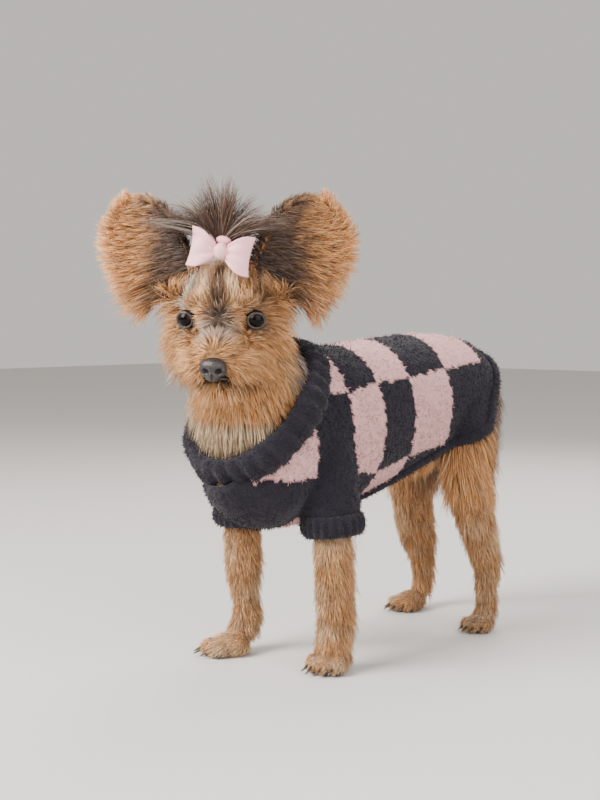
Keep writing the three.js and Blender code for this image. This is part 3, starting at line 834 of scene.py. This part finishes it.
# For each region: tufts in a square mm, length, width and lift in degrees.
COAT = {
    "face": (2.1, 11.5, 0.42, 36),
    "crown": (1.2, 15.0, 0.5, 18),
    "cheek": (1.3, 16.0, 0.5, 38),
    "nape": (0.9, 16.0, 0.6, 20),
    "beard": (1.6, 13.0, 0.46, 36),
    "neck": (1.0, 20.0, 0.6, 24),
    "foreleg": (1.15, 8.5, 0.5, 17),
    "hindleg": (0.95, 9.0, 0.52, 17),
    "rump": (0.52, 17.0, 0.65, 17),
    "tail": (1.1, 16.0, 0.55, 24),
    "paw": (1.4, 4.6, 0.42, 22),
    "body": (0.35, 8.0, 0.6, 15),
    "none": (0.0, 1.0, 0.5, 0),
}
RINGS = {"crown": 3, "neck": 3, "nape": 3, "rump": 3, "tail": 3, "beard": 3, "cheek": 3}
BEND = {
    "face": -0.12, "crown": 0.0, "cheek": -0.28, "nape": -0.3, "beard": -0.25, "neck": -0.3,
    "rump": -0.3, "tail": -0.3, "foreleg": -0.12, "hindleg": -0.15, "paw": -0.1, "body": -0.1,
}
CLUMP = {
    "face": 0.45, "crown": 0.5, "cheek": 0.5, "nape": 0.5, "beard": 0.55, "neck": 0.55,
    "rump": 0.55, "tail": 0.5, "foreleg": 0.5, "hindleg": 0.5, "paw": 0.25, "body": 0.4,
}


def density(points):
    return np.array([COAT[name][0] for name in region_of(points)]) * SHARE


HEAD_REGIONS = ["face", "crown", "cheek", "nape", "beard"]


def head_lie(q):
    """The way the coat lies on the head, in the head's frame."""
    side = np.sign(q[:, 0]) * smooth_step(0, 4, np.abs(q[:, 0]))
    away = q - NOSE_TIP
    away /= np.maximum(np.linalg.norm(away, axis=1, keepdims=True), 1)
    low = smooth_step(-2, -20, q[:, 2])
    muzzle = away * [1.5, 1.0, 0.8] + rows_of(0.5 * side, 0.1, 0.25 - 1.15 * low)
    cheek = rows_of(0.75 * side, 0.45, -0.75 - 0.2 * low)
    crown = unit(TIE - q) + rows_of(0.15 * side, 0, 0)
    nape = rows_of(0.25 * side, 0.4, -0.9)
    brow = rows_of(0.75 * side, 0.2, 0.5)
    chin = rows_of(0.35 * side, -0.15, -1)
    beside = smooth_step(8, 14, np.abs(q[:, 0]))
    over_eye = smooth_step(-5, 4, q[:, 2]) * smooth_step(14, 8, q[:, 2]) * beside
    lie = mixed(cheek, muzzle, smooth_step(-16, -26, q[:, 1]))
    lie = mixed(lie, crown, smooth_step(4, 12, q[:, 2]))
    lie = mixed(lie, brow, over_eye * 0.7)
    lie = mixed(lie, nape, smooth_step(2, 14, q[:, 1]))
    return mixed(lie, chin, smooth_step(-25, -29, q[:, 2]))


def lie_of(points, names):
    q = into(HEAD, points)
    turn = as_array(HEAD)[:3, :3]
    lie = np.tile([0.0, 0.15, -1.0], (len(points), 1))
    head = np.isin(names, HEAD_REGIONS)
    lie[head] = head_lie(q[head]) @ turn.T
    neck = names == "neck"
    lie[neck] = rows_of(points[neck, 0] * 0.012, -0.12, -1.0)
    paw = names == "paw"
    lie[paw] = [0.0, -0.8, -0.55]
    for at, turn_out, size in PAWS.values():
        near = paw & (np.hypot(points[:, 0] - at[0], points[:, 1] - at[1]) < 26)
        a = math.radians(turn_out)
        lie[near] = [0.8 * math.sin(a), -0.8 * math.cos(a), -0.5]
    tail = names == "tail"
    lie[tail] = np.where(points[tail, 1:2] < 134, [0.0, 1.0, -0.3], [0.0, 0.3, -1.0])
    body = names == "body"
    lie[body] = [0.0, 1.0, -0.2]
    return lie + 0.12 * np.random.default_rng(SEED + 1).normal(size=lie.shape)


def markings(points, names):
    """The coat's colour at each point, with a painted shadow along the mouth line, without the spread
    between tufts.
    """
    q = into(HEAD, points)
    wander = ripple(points, 14, SEED + 2)
    shade = mixed(GOLD, RUST, np.clip(0.35 + 0.35 * wander, 0, 1))

    def dye(where, tint, share):
        shade[where] = mixed(shade, tint, share)[where]

    x, y, z = np.abs(q[:, 0] + 0.5), q[:, 1], q[:, 2]
    head = np.isin(names, [*HEAD_REGIONS, "none"]) & (past_collar(points) > 0)
    forehead = head & (z > 4) & (y < 2)
    dye(forehead, CREAM, 0.75 * smooth_step(2.5, 6, x) * smooth_step(17, 10, x) * smooth_step(6, 16, z))
    dye(forehead, DARK * 1.2, 0.85 * smooth_step(6.5, 2.0, x + 1.2 * wander) * smooth_step(-2, 6, z))
    temple_stretch = (1, 1.2, 1.2)
    dye(head, SILVER * 1.1, 0.85 * smooth_step(11, 4, distance(q, (-21, -9, 13), temple_stretch)))
    dye(head, BROWN, 0.7 * smooth_step(10, 4, distance(q, (23, -6, 15), temple_stretch)))
    bridge = smooth_step(8, 3, x) * smooth_step(-14, -8, z) * smooth_step(8, 2, z)
    dye(head, SILVER * 0.75, 0.75 * bridge * smooth_step(-42, -37, y))
    dye(head, BROWN * 0.8, 0.65 * smooth_step(13.5, 8.0, eye_distance(q)))
    dye(head, DARK, 0.8 * smooth_step(11.5, 8, nose_distance(q)) * smooth_step(-20, -25, z))
    # Painted shadow: a dark band on the hair along the mouth line, for the shaded gap under the upper lip's
    # hair.
    mouth_shadow = smooth_step(2.6, 0.6, np.abs(z + 27.2 + 0.004 * q[:, 0] ** 2))
    dye(head, DARK * 0.5, 0.95 * mouth_shadow * smooth_step(-12, -24, y))
    dye(names == "nape", DARK, 0.8 * smooth_step(2, 14, y))
    neck = names == "neck"
    shade[neck] = mixed(STEEL, CREAM * 0.82, smooth_step(-95, -125, points[:, 1]))[neck]
    dye(neck, BROWN, np.clip(0.25 + 0.3 * wander, 0, 1))
    legs = np.isin(names, ["foreleg", "hindleg", "paw"])
    dye(legs, CREAM, 0.7 * patches(points, 26, SEED + 3, 0.3, 0.55))
    dye(legs, BROWN, 0.5 * patches(points, 12, SEED + 5, 0.3, 0.6))
    rear = np.isin(names, ["rump", "hindleg", "body"]) & (points[:, 1] > 30)
    dye(rear, RUST, 0.2)
    outer = smooth_step(88, 120, points[:, 2] + 8 * wander) * smooth_step(66, 98, points[:, 1])
    dye(rear, mixed(STEEL, DARK, 0.45), outer * 0.92)
    dye(names == "tail", DARK * 1.1, 0.85)
    return shade


def coat_tufts(at, normal, place):
    names = region_of(at)
    draw = np.random.default_rng(SEED + 4)
    count = len(at)
    spec = np.array([COAT[n] for n in names])
    q = into(HEAD, at)
    length = spec[:, 1] * draw.uniform(0.75, 1.2, count)
    near_eye = smooth_step(8, 18, eye_distance(q))
    near_nose = smooth_step(6, 19, nose_distance(q))
    face = np.isin(names, ["face", "crown", "cheek"])
    length[face] *= (0.45 + 0.55 * near_eye[face]) * (0.5 + 0.5 * near_nose[face])
    moustache = face & (q[:, 1] < -14) & (q[:, 2] < -12)
    length[moustache] *= 1 + 0.22 * smooth_step(3, 10, np.abs(q[moustache, 0]))
    bib = names == "neck"
    length[bib] *= 0.5 + 0.5 * smooth_step(2, 18, past_collar(at[bib]))
    rear_side = np.isin(names, ["foreleg", "hindleg"])
    length[rear_side] *= 1 + 0.45 * smooth_step(0.1, 0.8, normal[rear_side, 1])
    width = spec[:, 2] * draw.uniform(0.8, 1.25, count)
    lift = spec[:, 3] + draw.normal(size=count) * 8
    lie = lie_of(at, names)
    shade = markings(at, names)
    light = draw.normal(size=count)
    level = np.clip(1 + 0.2 * light, 0.55, 1.6)[:, None]
    streak = (draw.random(count) < 0.14)[:, None]
    # Painted shade and light: each tuft's root is darkened to 0.66 and its tip lightened to 1.2 (1.1 on
    # streaked tufts); the cream mixed into streaked tips is the coat's own colour.
    root = shade * level * 0.66
    tip = np.where(streak, mixed(shade, CREAM, 0.55) * level * 1.1, shade * level * 1.2)
    return names, Tufts(at, normal, place, lie, length, width, lift, root, tip)


def nearest_places(skin, uv, points):
    """The unwrap's place of the skin nearest to each point."""
    tree = BVHTree.FromObject(skin, bpy.context.evaluated_depsgraph_get())
    first = [polygon.loop_start for polygon in skin.data.polygons]
    return np.array([uv[first[tree.find_nearest(Vector(p))[2]]] for p in to_row(points)])


def ear_tufts(side, skin, uv):
    """Long hair in the cup, short hair on the back, and the fringe of the rim."""
    draw = np.random.default_rng(SEED + 20 + side)
    base = ear_frame(side)
    turn = as_array(base)[:3, :3]
    made = []
    for part, full_count in (("cup", 5200), ("back", 5200), ("rim", 2600)):
        count = int(full_count * SHARE)
        u, v = draw.random(count), draw.random(count) ** 0.9
        if part == "rim":
            s = draw.random(count)
            edge = np.where(s < 0.5, 0.0, 1.0)
            climb = np.minimum(np.minimum(s, 1 - s) / 0.4, 1)
            u = np.where(climb < 1, edge + draw.normal(size=count) * 0.03, (s - 0.4) / 0.2)
            u = np.clip(u, 0.01, 0.99)
            v = np.clip(0.04 + 0.94 * climb + draw.normal(size=count) * 0.02, 0.01, 0.985)
        outward = np.clip(u if side > 0 else 1 - u, 0, 1)
        across = ear_points(u + 0.01, v) - ear_points(u - 0.01, v)
        rise = ear_points(u, v + 0.01) - ear_points(u, v - 0.01)
        across, rise = unit(across), unit(rise)
        facing = unit(np.cross(across, rise))
        facing *= -np.sign(facing[:, 1:2])
        low = 1 - v
        if part == "cup":
            normal = facing
            lie = across * side * (0.55 + 0.35 * low)[:, None] + rise * (0.95 - 0.75 * low)[:, None]
            length = (13 + 7 * low) * (0.65 + 0.6 * outward * (0.4 + 0.6 * low))
            length = length * draw.uniform(0.7, 1.2, count)
            lift, droop = 26 + 10 * draw.normal(size=count), 0.25
            width = 0.5
        elif part == "back":
            normal = -facing
            lie = rise + across * side * (outward - 0.4)[:, None] * 0.7
            length = 7.5 * draw.uniform(0.75, 1.25, count)
            lift, droop = 14 + 6 * draw.normal(size=count), 0.0
            width = 0.5
        else:
            normal = facing * np.where(draw.random(count) < 0.5, 1, -1)[:, None]
            outer = outward > 0.6
            edge_way = across * np.sign(u - 0.5)[:, None]
            climbing = 0.15 + 0.95 * v - 0.8 * low * outer
            lie = edge_way * (1.15 - 0.85 * v)[:, None] + rise * climbing[:, None]
            length = (8 + 4.5 * draw.random(count)) * (1 + 0.7 * low * outer) * (0.75 + 0.25 * outer)
            lift, droop = 12 + 10 * draw.normal(size=count), 0.15
            width = 0.48
        at = ear_points(u, v) + normal * (EAR["thick"] / 2 - 0.3)
        clumps = ripple(ear_points(u, v), 9, SEED + 31 + side)
        gold = smooth_step(0.22, 0.62, 0.62 * outward + 0.55 * v + 0.13 * clumps - 0.12)
        if part == "back":
            gold = smooth_step(0.25, 0.8, v + 0.15 * clumps)
        inner = mixed(BROWN * 0.75, DARK * 1.2, np.clip(0.5 + 0.5 * clumps, 0, 1))
        outer_shade = mixed(RUST, GOLD * 1.05, np.clip(0.45 + 0.5 * clumps, 0, 1))
        shade = mixed(inner, outer_shade, gold)
        level = np.clip(1 + 0.24 * draw.normal(size=count), 0.5, 1.7)[:, None]
        streak = (draw.random(count) < (0.16 if part == "cup" else 0.07))[:, None]
        # Painted light: tips lightened to 1.25 of the colour; the silver mixed into streaked tips is the
        # hair's own colour.
        tip = np.where(streak, mixed(shade, SILVER, 0.5), shade * 1.25) * level
        lie = lie + 0.13 * draw.normal(size=lie.shape)
        world = through(base, at)
        places = nearest_places(skin, uv, world)
        # Painted shade: roots darkened to 0.6 of the colour.
        root = shade * level * 0.6
        tufts = Tufts(world, normal @ turn.T, places, lie @ turn.T, length, width, lift, root, tip)
        made.append((part, tufts, np.array([0, 0, -droop]) * low[:, None]))
    return made


def topknot_tufts(skin, uv):
    """Hair that rises from the tie and opens in a fan of thin wisps."""
    draw = np.random.default_rng(SEED + 40)
    count = int(1300 * SHARE)
    wisps = 34
    wisp = draw.integers(0, wisps, count)
    spread = (np.arange(wisps) + 0.5) / wisps * 2 - 1
    spread = spread + 0.03 * draw.normal(size=wisps)
    depth = 0.24 * draw.normal(size=wisps)
    long = draw.uniform(36, 48, wisps) * (1 - 0.1 * np.abs(spread))
    tilt = spread[wisp] * math.radians(72) + 0.035 * draw.normal(size=count)
    forward = depth[wisp] * 0.6 + 0.05 * draw.normal(size=count)
    way = rows_of(np.sin(tilt), forward, np.cos(tilt))
    at = TIE + rows_of(2.2 * np.sin(tilt) + 0.5 * draw.normal(size=count), 1.6 * forward, 0.4)
    length = long[wisp] * draw.uniform(0.75, 1.05, count)
    start = unit(way + np.array([0, 0, 0.9]))
    droop = way * [0.55, 0.3, 0] - rows_of(0, 0, 0.42 * np.abs(np.sin(tilt))) + (way - start) * 0.3
    shade = mixed(DARK, BROWN, draw.random(count))
    light = (draw.random(wisps) < 0.22)[wisp] & (draw.random(count) < 0.7)
    shade = np.where(light[:, None], mixed(shade, SILVER, 0.6), shade)
    turn = as_array(HEAD)[:3, :3]
    world = through(HEAD, at)
    normal = np.cross(start, [0.0, 1.0, 0.0]) + 1e-3
    places = nearest_places(skin, uv, world)
    # Painted shade at the roots (0.9 of the colour) and painted light on the tips (1.35).
    colours = (shade * 0.9, shade * 1.35)
    return Tufts(world, normal @ turn.T, places, start @ turn.T, length, 0.55, 0.0, *colours), droop @ turn.T


# The jumper.

YARN = yarn_material()
COLUMNS = [-93, -62, -33, -1, 40, 86]
UPPER_EDGE = ([-93, -62, -33, 0, 40, 82], [167, 167, 172, 174, 179, 182])
LOWER_EDGE = ([-62, -31, 0, 40], [117, 117, 124, 129])


def checks(points):
    """True where the knit is pink: blocks in rows that swap along the body."""
    jag = ripple(points, 7, SEED + 50) * 1.3
    x, y, z = points[:, 0], points[:, 1] + jag, points[:, 2] + jag
    column = np.searchsorted(COLUMNS, y)
    upper = z > np.interp(y, *UPPER_EDGE)
    lower = z < np.interp(y, *LOWER_EDGE)
    pink = column % 2 == 0
    pink = np.where(upper | lower, ~pink, pink)
    pink = np.where(upper & (x < -6), ~pink, pink)
    pink = np.where(column == 6, False, pink)
    breast = (column == 0) & (z > 117) & (np.abs(x) > 20)
    pink = np.where(column == 0, breast, pink)
    sleeve = (np.abs(x) > 22) & (z < 118) & (y < -50)
    return pink & ~sleeve


def knit_colour(points, spread):
    pink = checks(points)[:, None]
    # Painted light and shade: the pink checks lighten towards the top of the back and darken lower down.
    back = smooth_step(140, 195, points[:, 2])[:, None]
    rose = PINK * (0.82 + 0.25 * back)
    return np.where(pink, rose, NAVY) * (1 + spread[:, None])


def make_jumper():
    balls = trunk_balls(16, *KNIT_OUT)
    for name, rows in LIMBS.items():
        balls += limb_balls(rows[:3] if name.startswith("fore") else rows[:2], 3.4)
    bm = bmesh.new()
    bm.from_mesh(joined_balls("knit_tube", balls))
    jumper = remeshed(finished("jumper", bm, YARN), KNIT_VOXEL, 6)
    bm = bmesh.new()
    bm.from_mesh(jumper.data)
    planes = [(at, unit(way)) for at, way in HEM] + [(COLLAR_AT, COLLAR_WAY)]
    for at, way in planes:
        geom = bm.verts[:] + bm.edges[:] + bm.faces[:]
        bmesh.ops.bisect_plane(bm, geom=geom, plane_co=to_row(at), plane_no=way, clear_outer=True)
    below = [f for f in bm.faces if sleeve_end(from_row(f.calc_center_median()))]
    bmesh.ops.delete(bm, geom=below, context="FACES")
    edge = [e for e in bm.edges if e.is_boundary]
    hem = [e for e in edge if on_hem(from_row((e.verts[0].co + e.verts[1].co) / 2))]
    band = hem_band(hem)
    bmesh.ops.solidify(bm, geom=bm.faces[:], thickness=KNIT_THICK / 1000)
    bm.to_mesh(jumper.data)
    bm.free()
    return jumper, band


def sleeve_end(point):
    return point[2] < CUFF_END and abs(point[0]) > 20


def on_hem(point):
    return past_hem(np.array([point]))[0] > -0.5


def hem_band(edges):
    """A rolled rib that follows the hem's edge."""
    links = {}
    for edge in edges:
        a, b = edge.verts
        links.setdefault(a, []).append(b)
        links.setdefault(b, []).append(a)
    start = max(links, key=lambda vert: vert.co.z)
    loop, seen, here = [], set(), start
    while here is not None:
        loop.append(from_row(here.co))
        seen.add(here)
        here = next((other for other in links[here] if other not in seen), None)
    loop = np.array(loop)
    for _ in range(12):
        loop = (np.roll(loop, 1, axis=0) + loop * 2 + np.roll(loop, -1, axis=0)) / 4
    curve = bpy.data.curves.new("jumper_hem", "CURVE")
    curve.dimensions = "3D"
    curve.bevel_depth = HEM_RADIUS / 1000
    curve.bevel_resolution = 3
    spline = curve.splines.new("POLY")
    thin = loop[:: max(1, len(loop) // 160)]
    spline.points.add(len(thin) - 1)
    spline.points.foreach_set("co", np.hstack([to_row(thin), np.ones((len(thin), 1))]).ravel())
    spline.use_cyclic_u = True
    holder = bpy.data.objects.new("hem_path", curve)
    bpy.context.scene.collection.objects.link(holder)
    graph = bpy.context.evaluated_depsgraph_get()
    mesh = bpy.data.meshes.new_from_object(holder.evaluated_get(graph), depsgraph=graph)
    bpy.data.objects.remove(holder)
    mesh.materials.clear()
    return link("jumper_hem", mesh, YARN)


def collar_shape(angle, out, up):
    rib = 0.9 * math.cos(30 * angle) + 0.8 * math.sin(7 * angle + 1)
    slump = 2.5 * max(0, -math.sin(angle))
    roll = 6.2 + rib * max(0, out + 0.4)
    return 3.2 + out * roll + slump * 0.5, 1 + up * (10.2 + 0.5 * rib)


def cuff_shape(angle, out, up):
    rib = 0.7 * math.cos(22 * angle)
    return 2.2 + out * (2.6 + rib * max(0, out + 0.4)), up * 6.5


def make_bands():
    bands = []
    bm = bmesh.new()
    add_ring(bm, turned(COLLAR_AT, COLLAR_LEAN), COLLAR_WIDE, COLLAR_DEEP, collar_shape, 180, 18)
    bands.append(finished("jumper_collar_roll", bm, YARN))
    for side, word in SIDES:
        bm = bmesh.new()
        at = turned((side * 36.8, -76.6, 89), 3, -3 * side)
        add_ring(bm, at, 13.6, 15, cuff_shape, 110, 14)
        bands.append(finished(f"jumper_cuff_rib_{word}", bm, YARN))
    return bands


def paint_knit(piece):
    points = from_row(mesh_points(piece.data))
    paint(piece.data, shade_of_knit(piece, points, 0.12 * ripple(points, 3, SEED + 51)) * 0.8)


def shade_of_knit(piece, points, spread):
    """Checks on the jumper's body, with painted light and shade on the pink by height, and one dark colour
    on its bands.
    """
    if piece.name == "jumper":
        return knit_colour(points, spread)
    return NAVY * (1 + spread[:, None])


BODY_PILE = 0.36  # yarn ends in a square mm
BAND_PILE = 0.42


def fuzz(piece, per_mm, seed):
    """Short curled yarn ends that stand on a knitted piece."""
    uv = unwrapped(piece)
    number = per_mm * SHARE
    at, normal, place = sample(piece.data, uv, lambda points: number, seed, sort=True)
    draw = np.random.default_rng(seed)
    count = len(at)
    spread = 0.14 * draw.normal(size=count)
    wander = 0.6 * draw.normal(size=at.shape) if piece.name == "jumper" else 0
    shade = shade_of_knit(piece, at + wander, spread)
    lie = draw.normal(size=at.shape)
    lie[:, 2] -= 0.5
    length = draw.uniform(1.8, 3.4, count)
    lift = draw.uniform(25, 75, count)
    # Painted shade at the yarn ends' roots (0.72 of the colour) and painted light on their tips (1.15).
    ends = Tufts(at, normal, place, lie, length, 0.62, lift, shade * 0.72, shade * 1.15)
    return ends.pick(outward_of(piece, at, normal))


def outward_of(piece, at, normal):
    """False on the inner face of the jumper's body."""
    if piece.name != "jumper":
        return np.ones(len(at), bool)
    rows = along(TRUNK, 4)
    centre = rows_of(0, at[:, 1], np.interp(at[:, 1], rows[:, 0], rows[:, 1]))
    for side in (1, -1):
        sleeve = (at[:, 0] * side > 24) & (at[:, 2] < 108) & (at[:, 1] < -50)
        centre[sleeve] = rows_of(side * 34.5, -75, at[sleeve, 2])
    return np.sum((at - centre) * normal, axis=1) > 0


# The bow, eyes, nose, mouth, claws and pads.

RIBBON = ribbon_material()
BOW = HEAD @ turned((1.5, -20.5, 42), -8, 11, 0)


def bow_point(side, u, v):
    angle = math.pi * 1.7 * (v - 0.5)
    out = (1 + math.cos(angle)) / 2
    high = 3.4 + 7.6 * math.sin((math.pi / 2) * min(1, out * 1.15))
    across = 2 * u - 1
    crease = 0.5 * math.sin(9 * across + 2 * side) * (1 - out) + 0.25 * math.sin(5 * across + 6 * out)
    curl = 3.2 * math.sin(angle) * (0.6 + 0.4 * math.sin(math.pi * out))
    flare = out * (14.2 + 1.4 * across * across * out)
    return (side * (2.6 + flare), curl + crease, high * across)


def make_bow():
    pieces = []
    for side, word in SIDES:
        bm = bmesh.new()
        grid = bmesh.ops.create_grid(bm, x_segments=18, y_segments=60, size=1)["verts"]
        for vert in grid:
            vert.co = BOW @ Vector(bow_point(side, vert.co.x / 2 + 0.5, vert.co.y / 2 + 0.5))
        bmesh.ops.solidify(bm, geom=bm.verts[:] + bm.edges[:] + bm.faces[:], thickness=0.7)
        pieces.append(finished(f"bow_ribbon_{word}", bm, RIBBON))
    bm = bmesh.new()
    add_ball(bm, (0, -0.3, 0), (4.2, 3.6, 4.7), BOW, 24)
    for vert in bm.verts:
        local = BOW.inverted() @ vert.co
        groove = 0.3 * math.sin(3.4 * local.x)
        vert.co = BOW @ (local * (1 + groove * 0.18))
    add_ball(bm, (0.4, 2.0, 6.0), (4.4, 2.8, 2.6), BOW, 20)
    pieces.append(finished("bow_centre", bm, RIBBON))
    bm = bmesh.new()
    tie = HEAD @ turned(TIE + np.array([0, 0, 0.6]))
    add_ring(bm, tie, 3.4, 3.4, lambda angle, out, up: (1.2 * out, 1.4 * up), 40, 8)
    pieces.append(finished("topknot_band", bm, RIBBON))
    return pieces


def lid_shape(angle, out, up):
    return 0.85 * out, 0.85 * up - 0.35 * math.cos(angle) ** 2


def make_eyes():
    pieces = []
    lid_skin = leather_material("lid_skin", colour(30, 22, 20), 0.4, 900.0, 0.0004)
    for side, word in SIDES:
        centre, axis, across, up = eye_parts(side)
        bm = bmesh.new()
        add_ball(bm, centre, (EYE_RADIUS, EYE_RADIUS, EYE_RADIUS), segments=48)
        eye = finished(f"eyeball_{word}", bm, eye_material(to_row(centre), axis))
        bm = bmesh.new()
        columns = np.column_stack([across, up, axis, centre + axis * 3.3])
        rim = Matrix(np.vstack([columns, [0, 0, 0, 1]]))
        add_ring(bm, rim, 4.8, 4.3, lid_shape, 48, 8)
        lid = finished(f"lid_rim_{word}", bm, lid_skin)
        pieces += [(eye, "eye", f"eye_{word}"), (lid, "nose_leather", None)]
    return pieces


NOSE = [((0, -46.5, -18), (7.6, 5.6, 4.6)), ((0, -47, -22), (5, 4.6, 5.2))]
NOSE += mirrored([((4.6, -46.5, -20.5), (3.4, 4.6, 3.6))])


def make_nose():
    bm = bmesh.new()
    for at, size in NOSE:
        add_ball(bm, at, size, HEAD, 32)
    leather = leather_material("nose_leather", colour(26, 20, 19), 0.3, 1500.0, 0.0005)
    nose = remeshed(finished("nose_tip", bm, leather), NOSE_VOXEL, 3)
    points = into(HEAD, from_row(mesh_points(nose.data)))
    for side in (1, -1):
        hole = (points - np.array([side * 4.3, -51.2, -20.6])) / [2.2, 3.5, 1.8]
        comma = (points - np.array([side * 6.6, -49.4, -21.6])) / [2.2, 3.0, 0.9]
        hole_depth = 3.0 * np.exp(-np.sum(hole**2, axis=1) * 1.4)
        comma_depth = 1.3 * np.exp(-np.sum(comma**2, axis=1))
        deep = np.maximum(hole_depth, comma_depth)
        points[:, 1] += deep
        points[:, 0] -= side * deep * 0.25
    groove = np.exp(-((points[:, 0] / 0.55) ** 2)) * smooth_step(-19, -23, points[:, 2]) * 0.8
    points[:, 1] += groove
    set_points(nose.data, through(HEAD, points))
    return nose


LIP = [
    [-14.5, -18, -27.6], [-11.5, -29, -27.4], [-6, -37, -27.8], [0, -40, -26.6],
    [6, -37, -27.8], [11.5, -29, -27.4], [14.5, -18, -27.6],
]


def make_lips():
    bm = bmesh.new()
    for row in along(LIP, 8):
        add_ball(bm, row, (1.5, 1.5, 1.1), HEAD, 10)
    for z in np.arange(-26.5, -22.5, 0.8):
        add_ball(bm, (0, -41.5 + 0.3 * (z + 26.5), z), (1.3, 1.3, 1.0), HEAD, 10)
    lip_skin = leather_material("lip_skin", colour(24, 17, 16), 0.45, 900.0, 0.0004)
    return finished("lip_line", bm, lip_skin)


def make_feet():
    claws, pads = bmesh.new(), bmesh.new()
    for at, turn, size in PAWS.values():
        base = turned(at, 0, 0, turn) @ Matrix.Scale(size, 4)
        for x, y, out in TOES:
            place = base @ turned((x, y - 8.6, 3.6), 118, 0, out)
            cone = {"segments": 12, "radius1": 1.25, "radius2": 0.25, "depth": 6.5}
            bmesh.ops.create_cone(claws, cap_ends=True, matrix=place, **cone)
            add_ball(pads, (x, y - 0.5, 2.2), (3.2, 4.2, 2.1), base, 14)
        add_ball(pads, (0, 3, 2.4), (6.4, 5.6, 2.3), base, 18)
    pad_skin = leather_material("pad_leather", colour(36, 28, 26), 0.6, 800.0, 0.0006)
    return finished("claws", claws, horn_material()), finished("paw_pads", pads, pad_skin)


# Put the dog together.

skin = make_skin()
skin_uv = unwrapped(skin)
skin_points = from_row(mesh_points(skin.data))
# The skin takes the coat's markings darkened to 0.45: painted shade for the coat's shaded depth between the
# tufts.
paint(skin.data, markings(skin_points, region_of(skin_points)) * 0.45)
fur = coat_material()
made = [(skin, "tan_coat")]
BODY_NODES = ["neck", "torso"]
LEG_NODES = [
    f"{name}_{part}"
    for name in LIMBS
    for part in (("upper", "lower", "paw") if name.startswith("fore") else ("thigh", "shank", "paw"))
]
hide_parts("head", "jaw", "ear_left", "ear_right", *BODY_NODES, *LEG_NODES)

names, crop = coat_tufts(*sample(skin.data, skin_uv, density))
for index, region in enumerate(name for name in COAT if name != "none"):
    part = crop.pick(names == region)
    if not len(part.at):
        continue
    bend = np.array([0, 0, BEND[region]])
    rings = RINGS.get(region, 2)
    piece = tuft_piece(f"coat_{region}", part, rings, bend, CLUMP[region], fur, SEED + 60 + index)
    made.append((piece, "dark_coat" if region in ("rump", "tail", "nape") else "tan_coat"))
    if region == "tail":
        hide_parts("tail")

for side, word in SIDES:
    for part, tufts, bend in ear_tufts(side, skin, skin_uv):
        rings = 2 if part == "back" else 3
        piece = tuft_piece(f"ear_{part}_{word}", tufts, rings, bend, 0.55, fur, SEED + 80 + side)
        made.append((piece, "tan_coat"))

tufts, droop = topknot_tufts(skin, skin_uv)
piece = tuft_piece("topknot_wisps", tufts, 6, droop, 0.2, fur, SEED + 90)
made.append((piece, "dark_coat"))
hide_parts("topknot")

jumper, band = make_jumper()
bands = make_bands()
for piece in [jumper, band, *bands]:
    paint_knit(piece)
    made.append((piece, "knit"))
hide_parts("jumper_body")
for piece, word in zip(bands, ("collar", "cuff_left", "cuff_right")):
    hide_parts(f"jumper_{word}")
knitted = [(jumper, BODY_PILE)] + [(piece, BAND_PILE) for piece in (band, *bands)]
for index, (piece, per_mm) in enumerate(knitted):
    tufts = fuzz(piece, per_mm, SEED + 100 + index)
    parts = 2 if piece is jumper else 1
    for number in range(parts):
        part = tufts.pick(slice(number, None, parts))
        name = f"{piece.name}_pile_{number}"
        pile = tuft_piece(name, part, 2, np.zeros(3), 0.0, YARN, SEED + 110 + index)
        made.append((pile, "knit"))

ribbons = make_bow()
made += [(ribbon, "ribbon") for ribbon in ribbons]
for ribbon, node in zip(ribbons, ("bow_loop_left", "bow_loop_right", "bow_knot", "hair_tie")):
    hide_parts(node)

for piece, slot, node in make_eyes():
    made.append((piece, slot))
    if node:
        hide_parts(node)
nose = make_nose()
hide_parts("nose")
claws, pads = make_feet()
made += [(piece, "nose_leather") for piece in (nose, make_lips(), claws, pads)]

for piece, slot in made:
    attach(piece, "root")

# The floor, lights and camera.

scene = bpy.context.scene
bm = bmesh.new()
bmesh.ops.create_grid(bm, x_segments=1, y_segments=1, size=4000)
finished("floor", bm, floor_material(), smooth=False)

CAMERA_AT = (596.7, -731.6, 215.0)
CAMERA_AIM = (-0.6657, 0.7439, -0.0599)
camera_data = bpy.data.cameras.new("camera")
camera_data.lens = 65.25
camera_data.sensor_width = 36
camera = bpy.data.objects.new("camera", camera_data)
camera.matrix_world = (
    Matrix.Translation(to_row(CAMERA_AT)) @ Vector(CAMERA_AIM).to_track_quat("-Z", "Y").to_matrix().to_4x4()
)
scene.collection.objects.link(camera)
scene.camera = camera


def add_light(name, at, aim, size, power, tint):
    data = bpy.data.lights.new(name, "AREA")
    data.size = size
    data.energy = power
    data.color = tint
    lamp = bpy.data.objects.new(name, data)
    way = Vector(to_row(aim) - to_row(at))
    lamp.matrix_world = Matrix.Translation(to_row(at)) @ way.to_track_quat("-Z", "Y").to_matrix().to_4x4()
    scene.collection.objects.link(lamp)


MIDDLE = (0, -40, 150)
add_light("window", (-350, -1150, 950), MIDDLE, 0.9, 56, (1.0, 0.97, 0.93))
add_light("fill", (1100, -350, 600), MIDDLE, 1.2, 16, (0.97, 0.98, 1.0))
add_light("rim", (-300, 900, 900), MIDDLE, 0.8, 12, (1.0, 0.96, 0.9))

world = bpy.data.worlds.new("studio")
world.use_nodes = True
backdrop = world.node_tree.nodes["Background"]
backdrop.inputs["Color"].default_value = (0.74, 0.70, 0.66, 1)
backdrop.inputs["Strength"].default_value = 0.95
scene.world = world
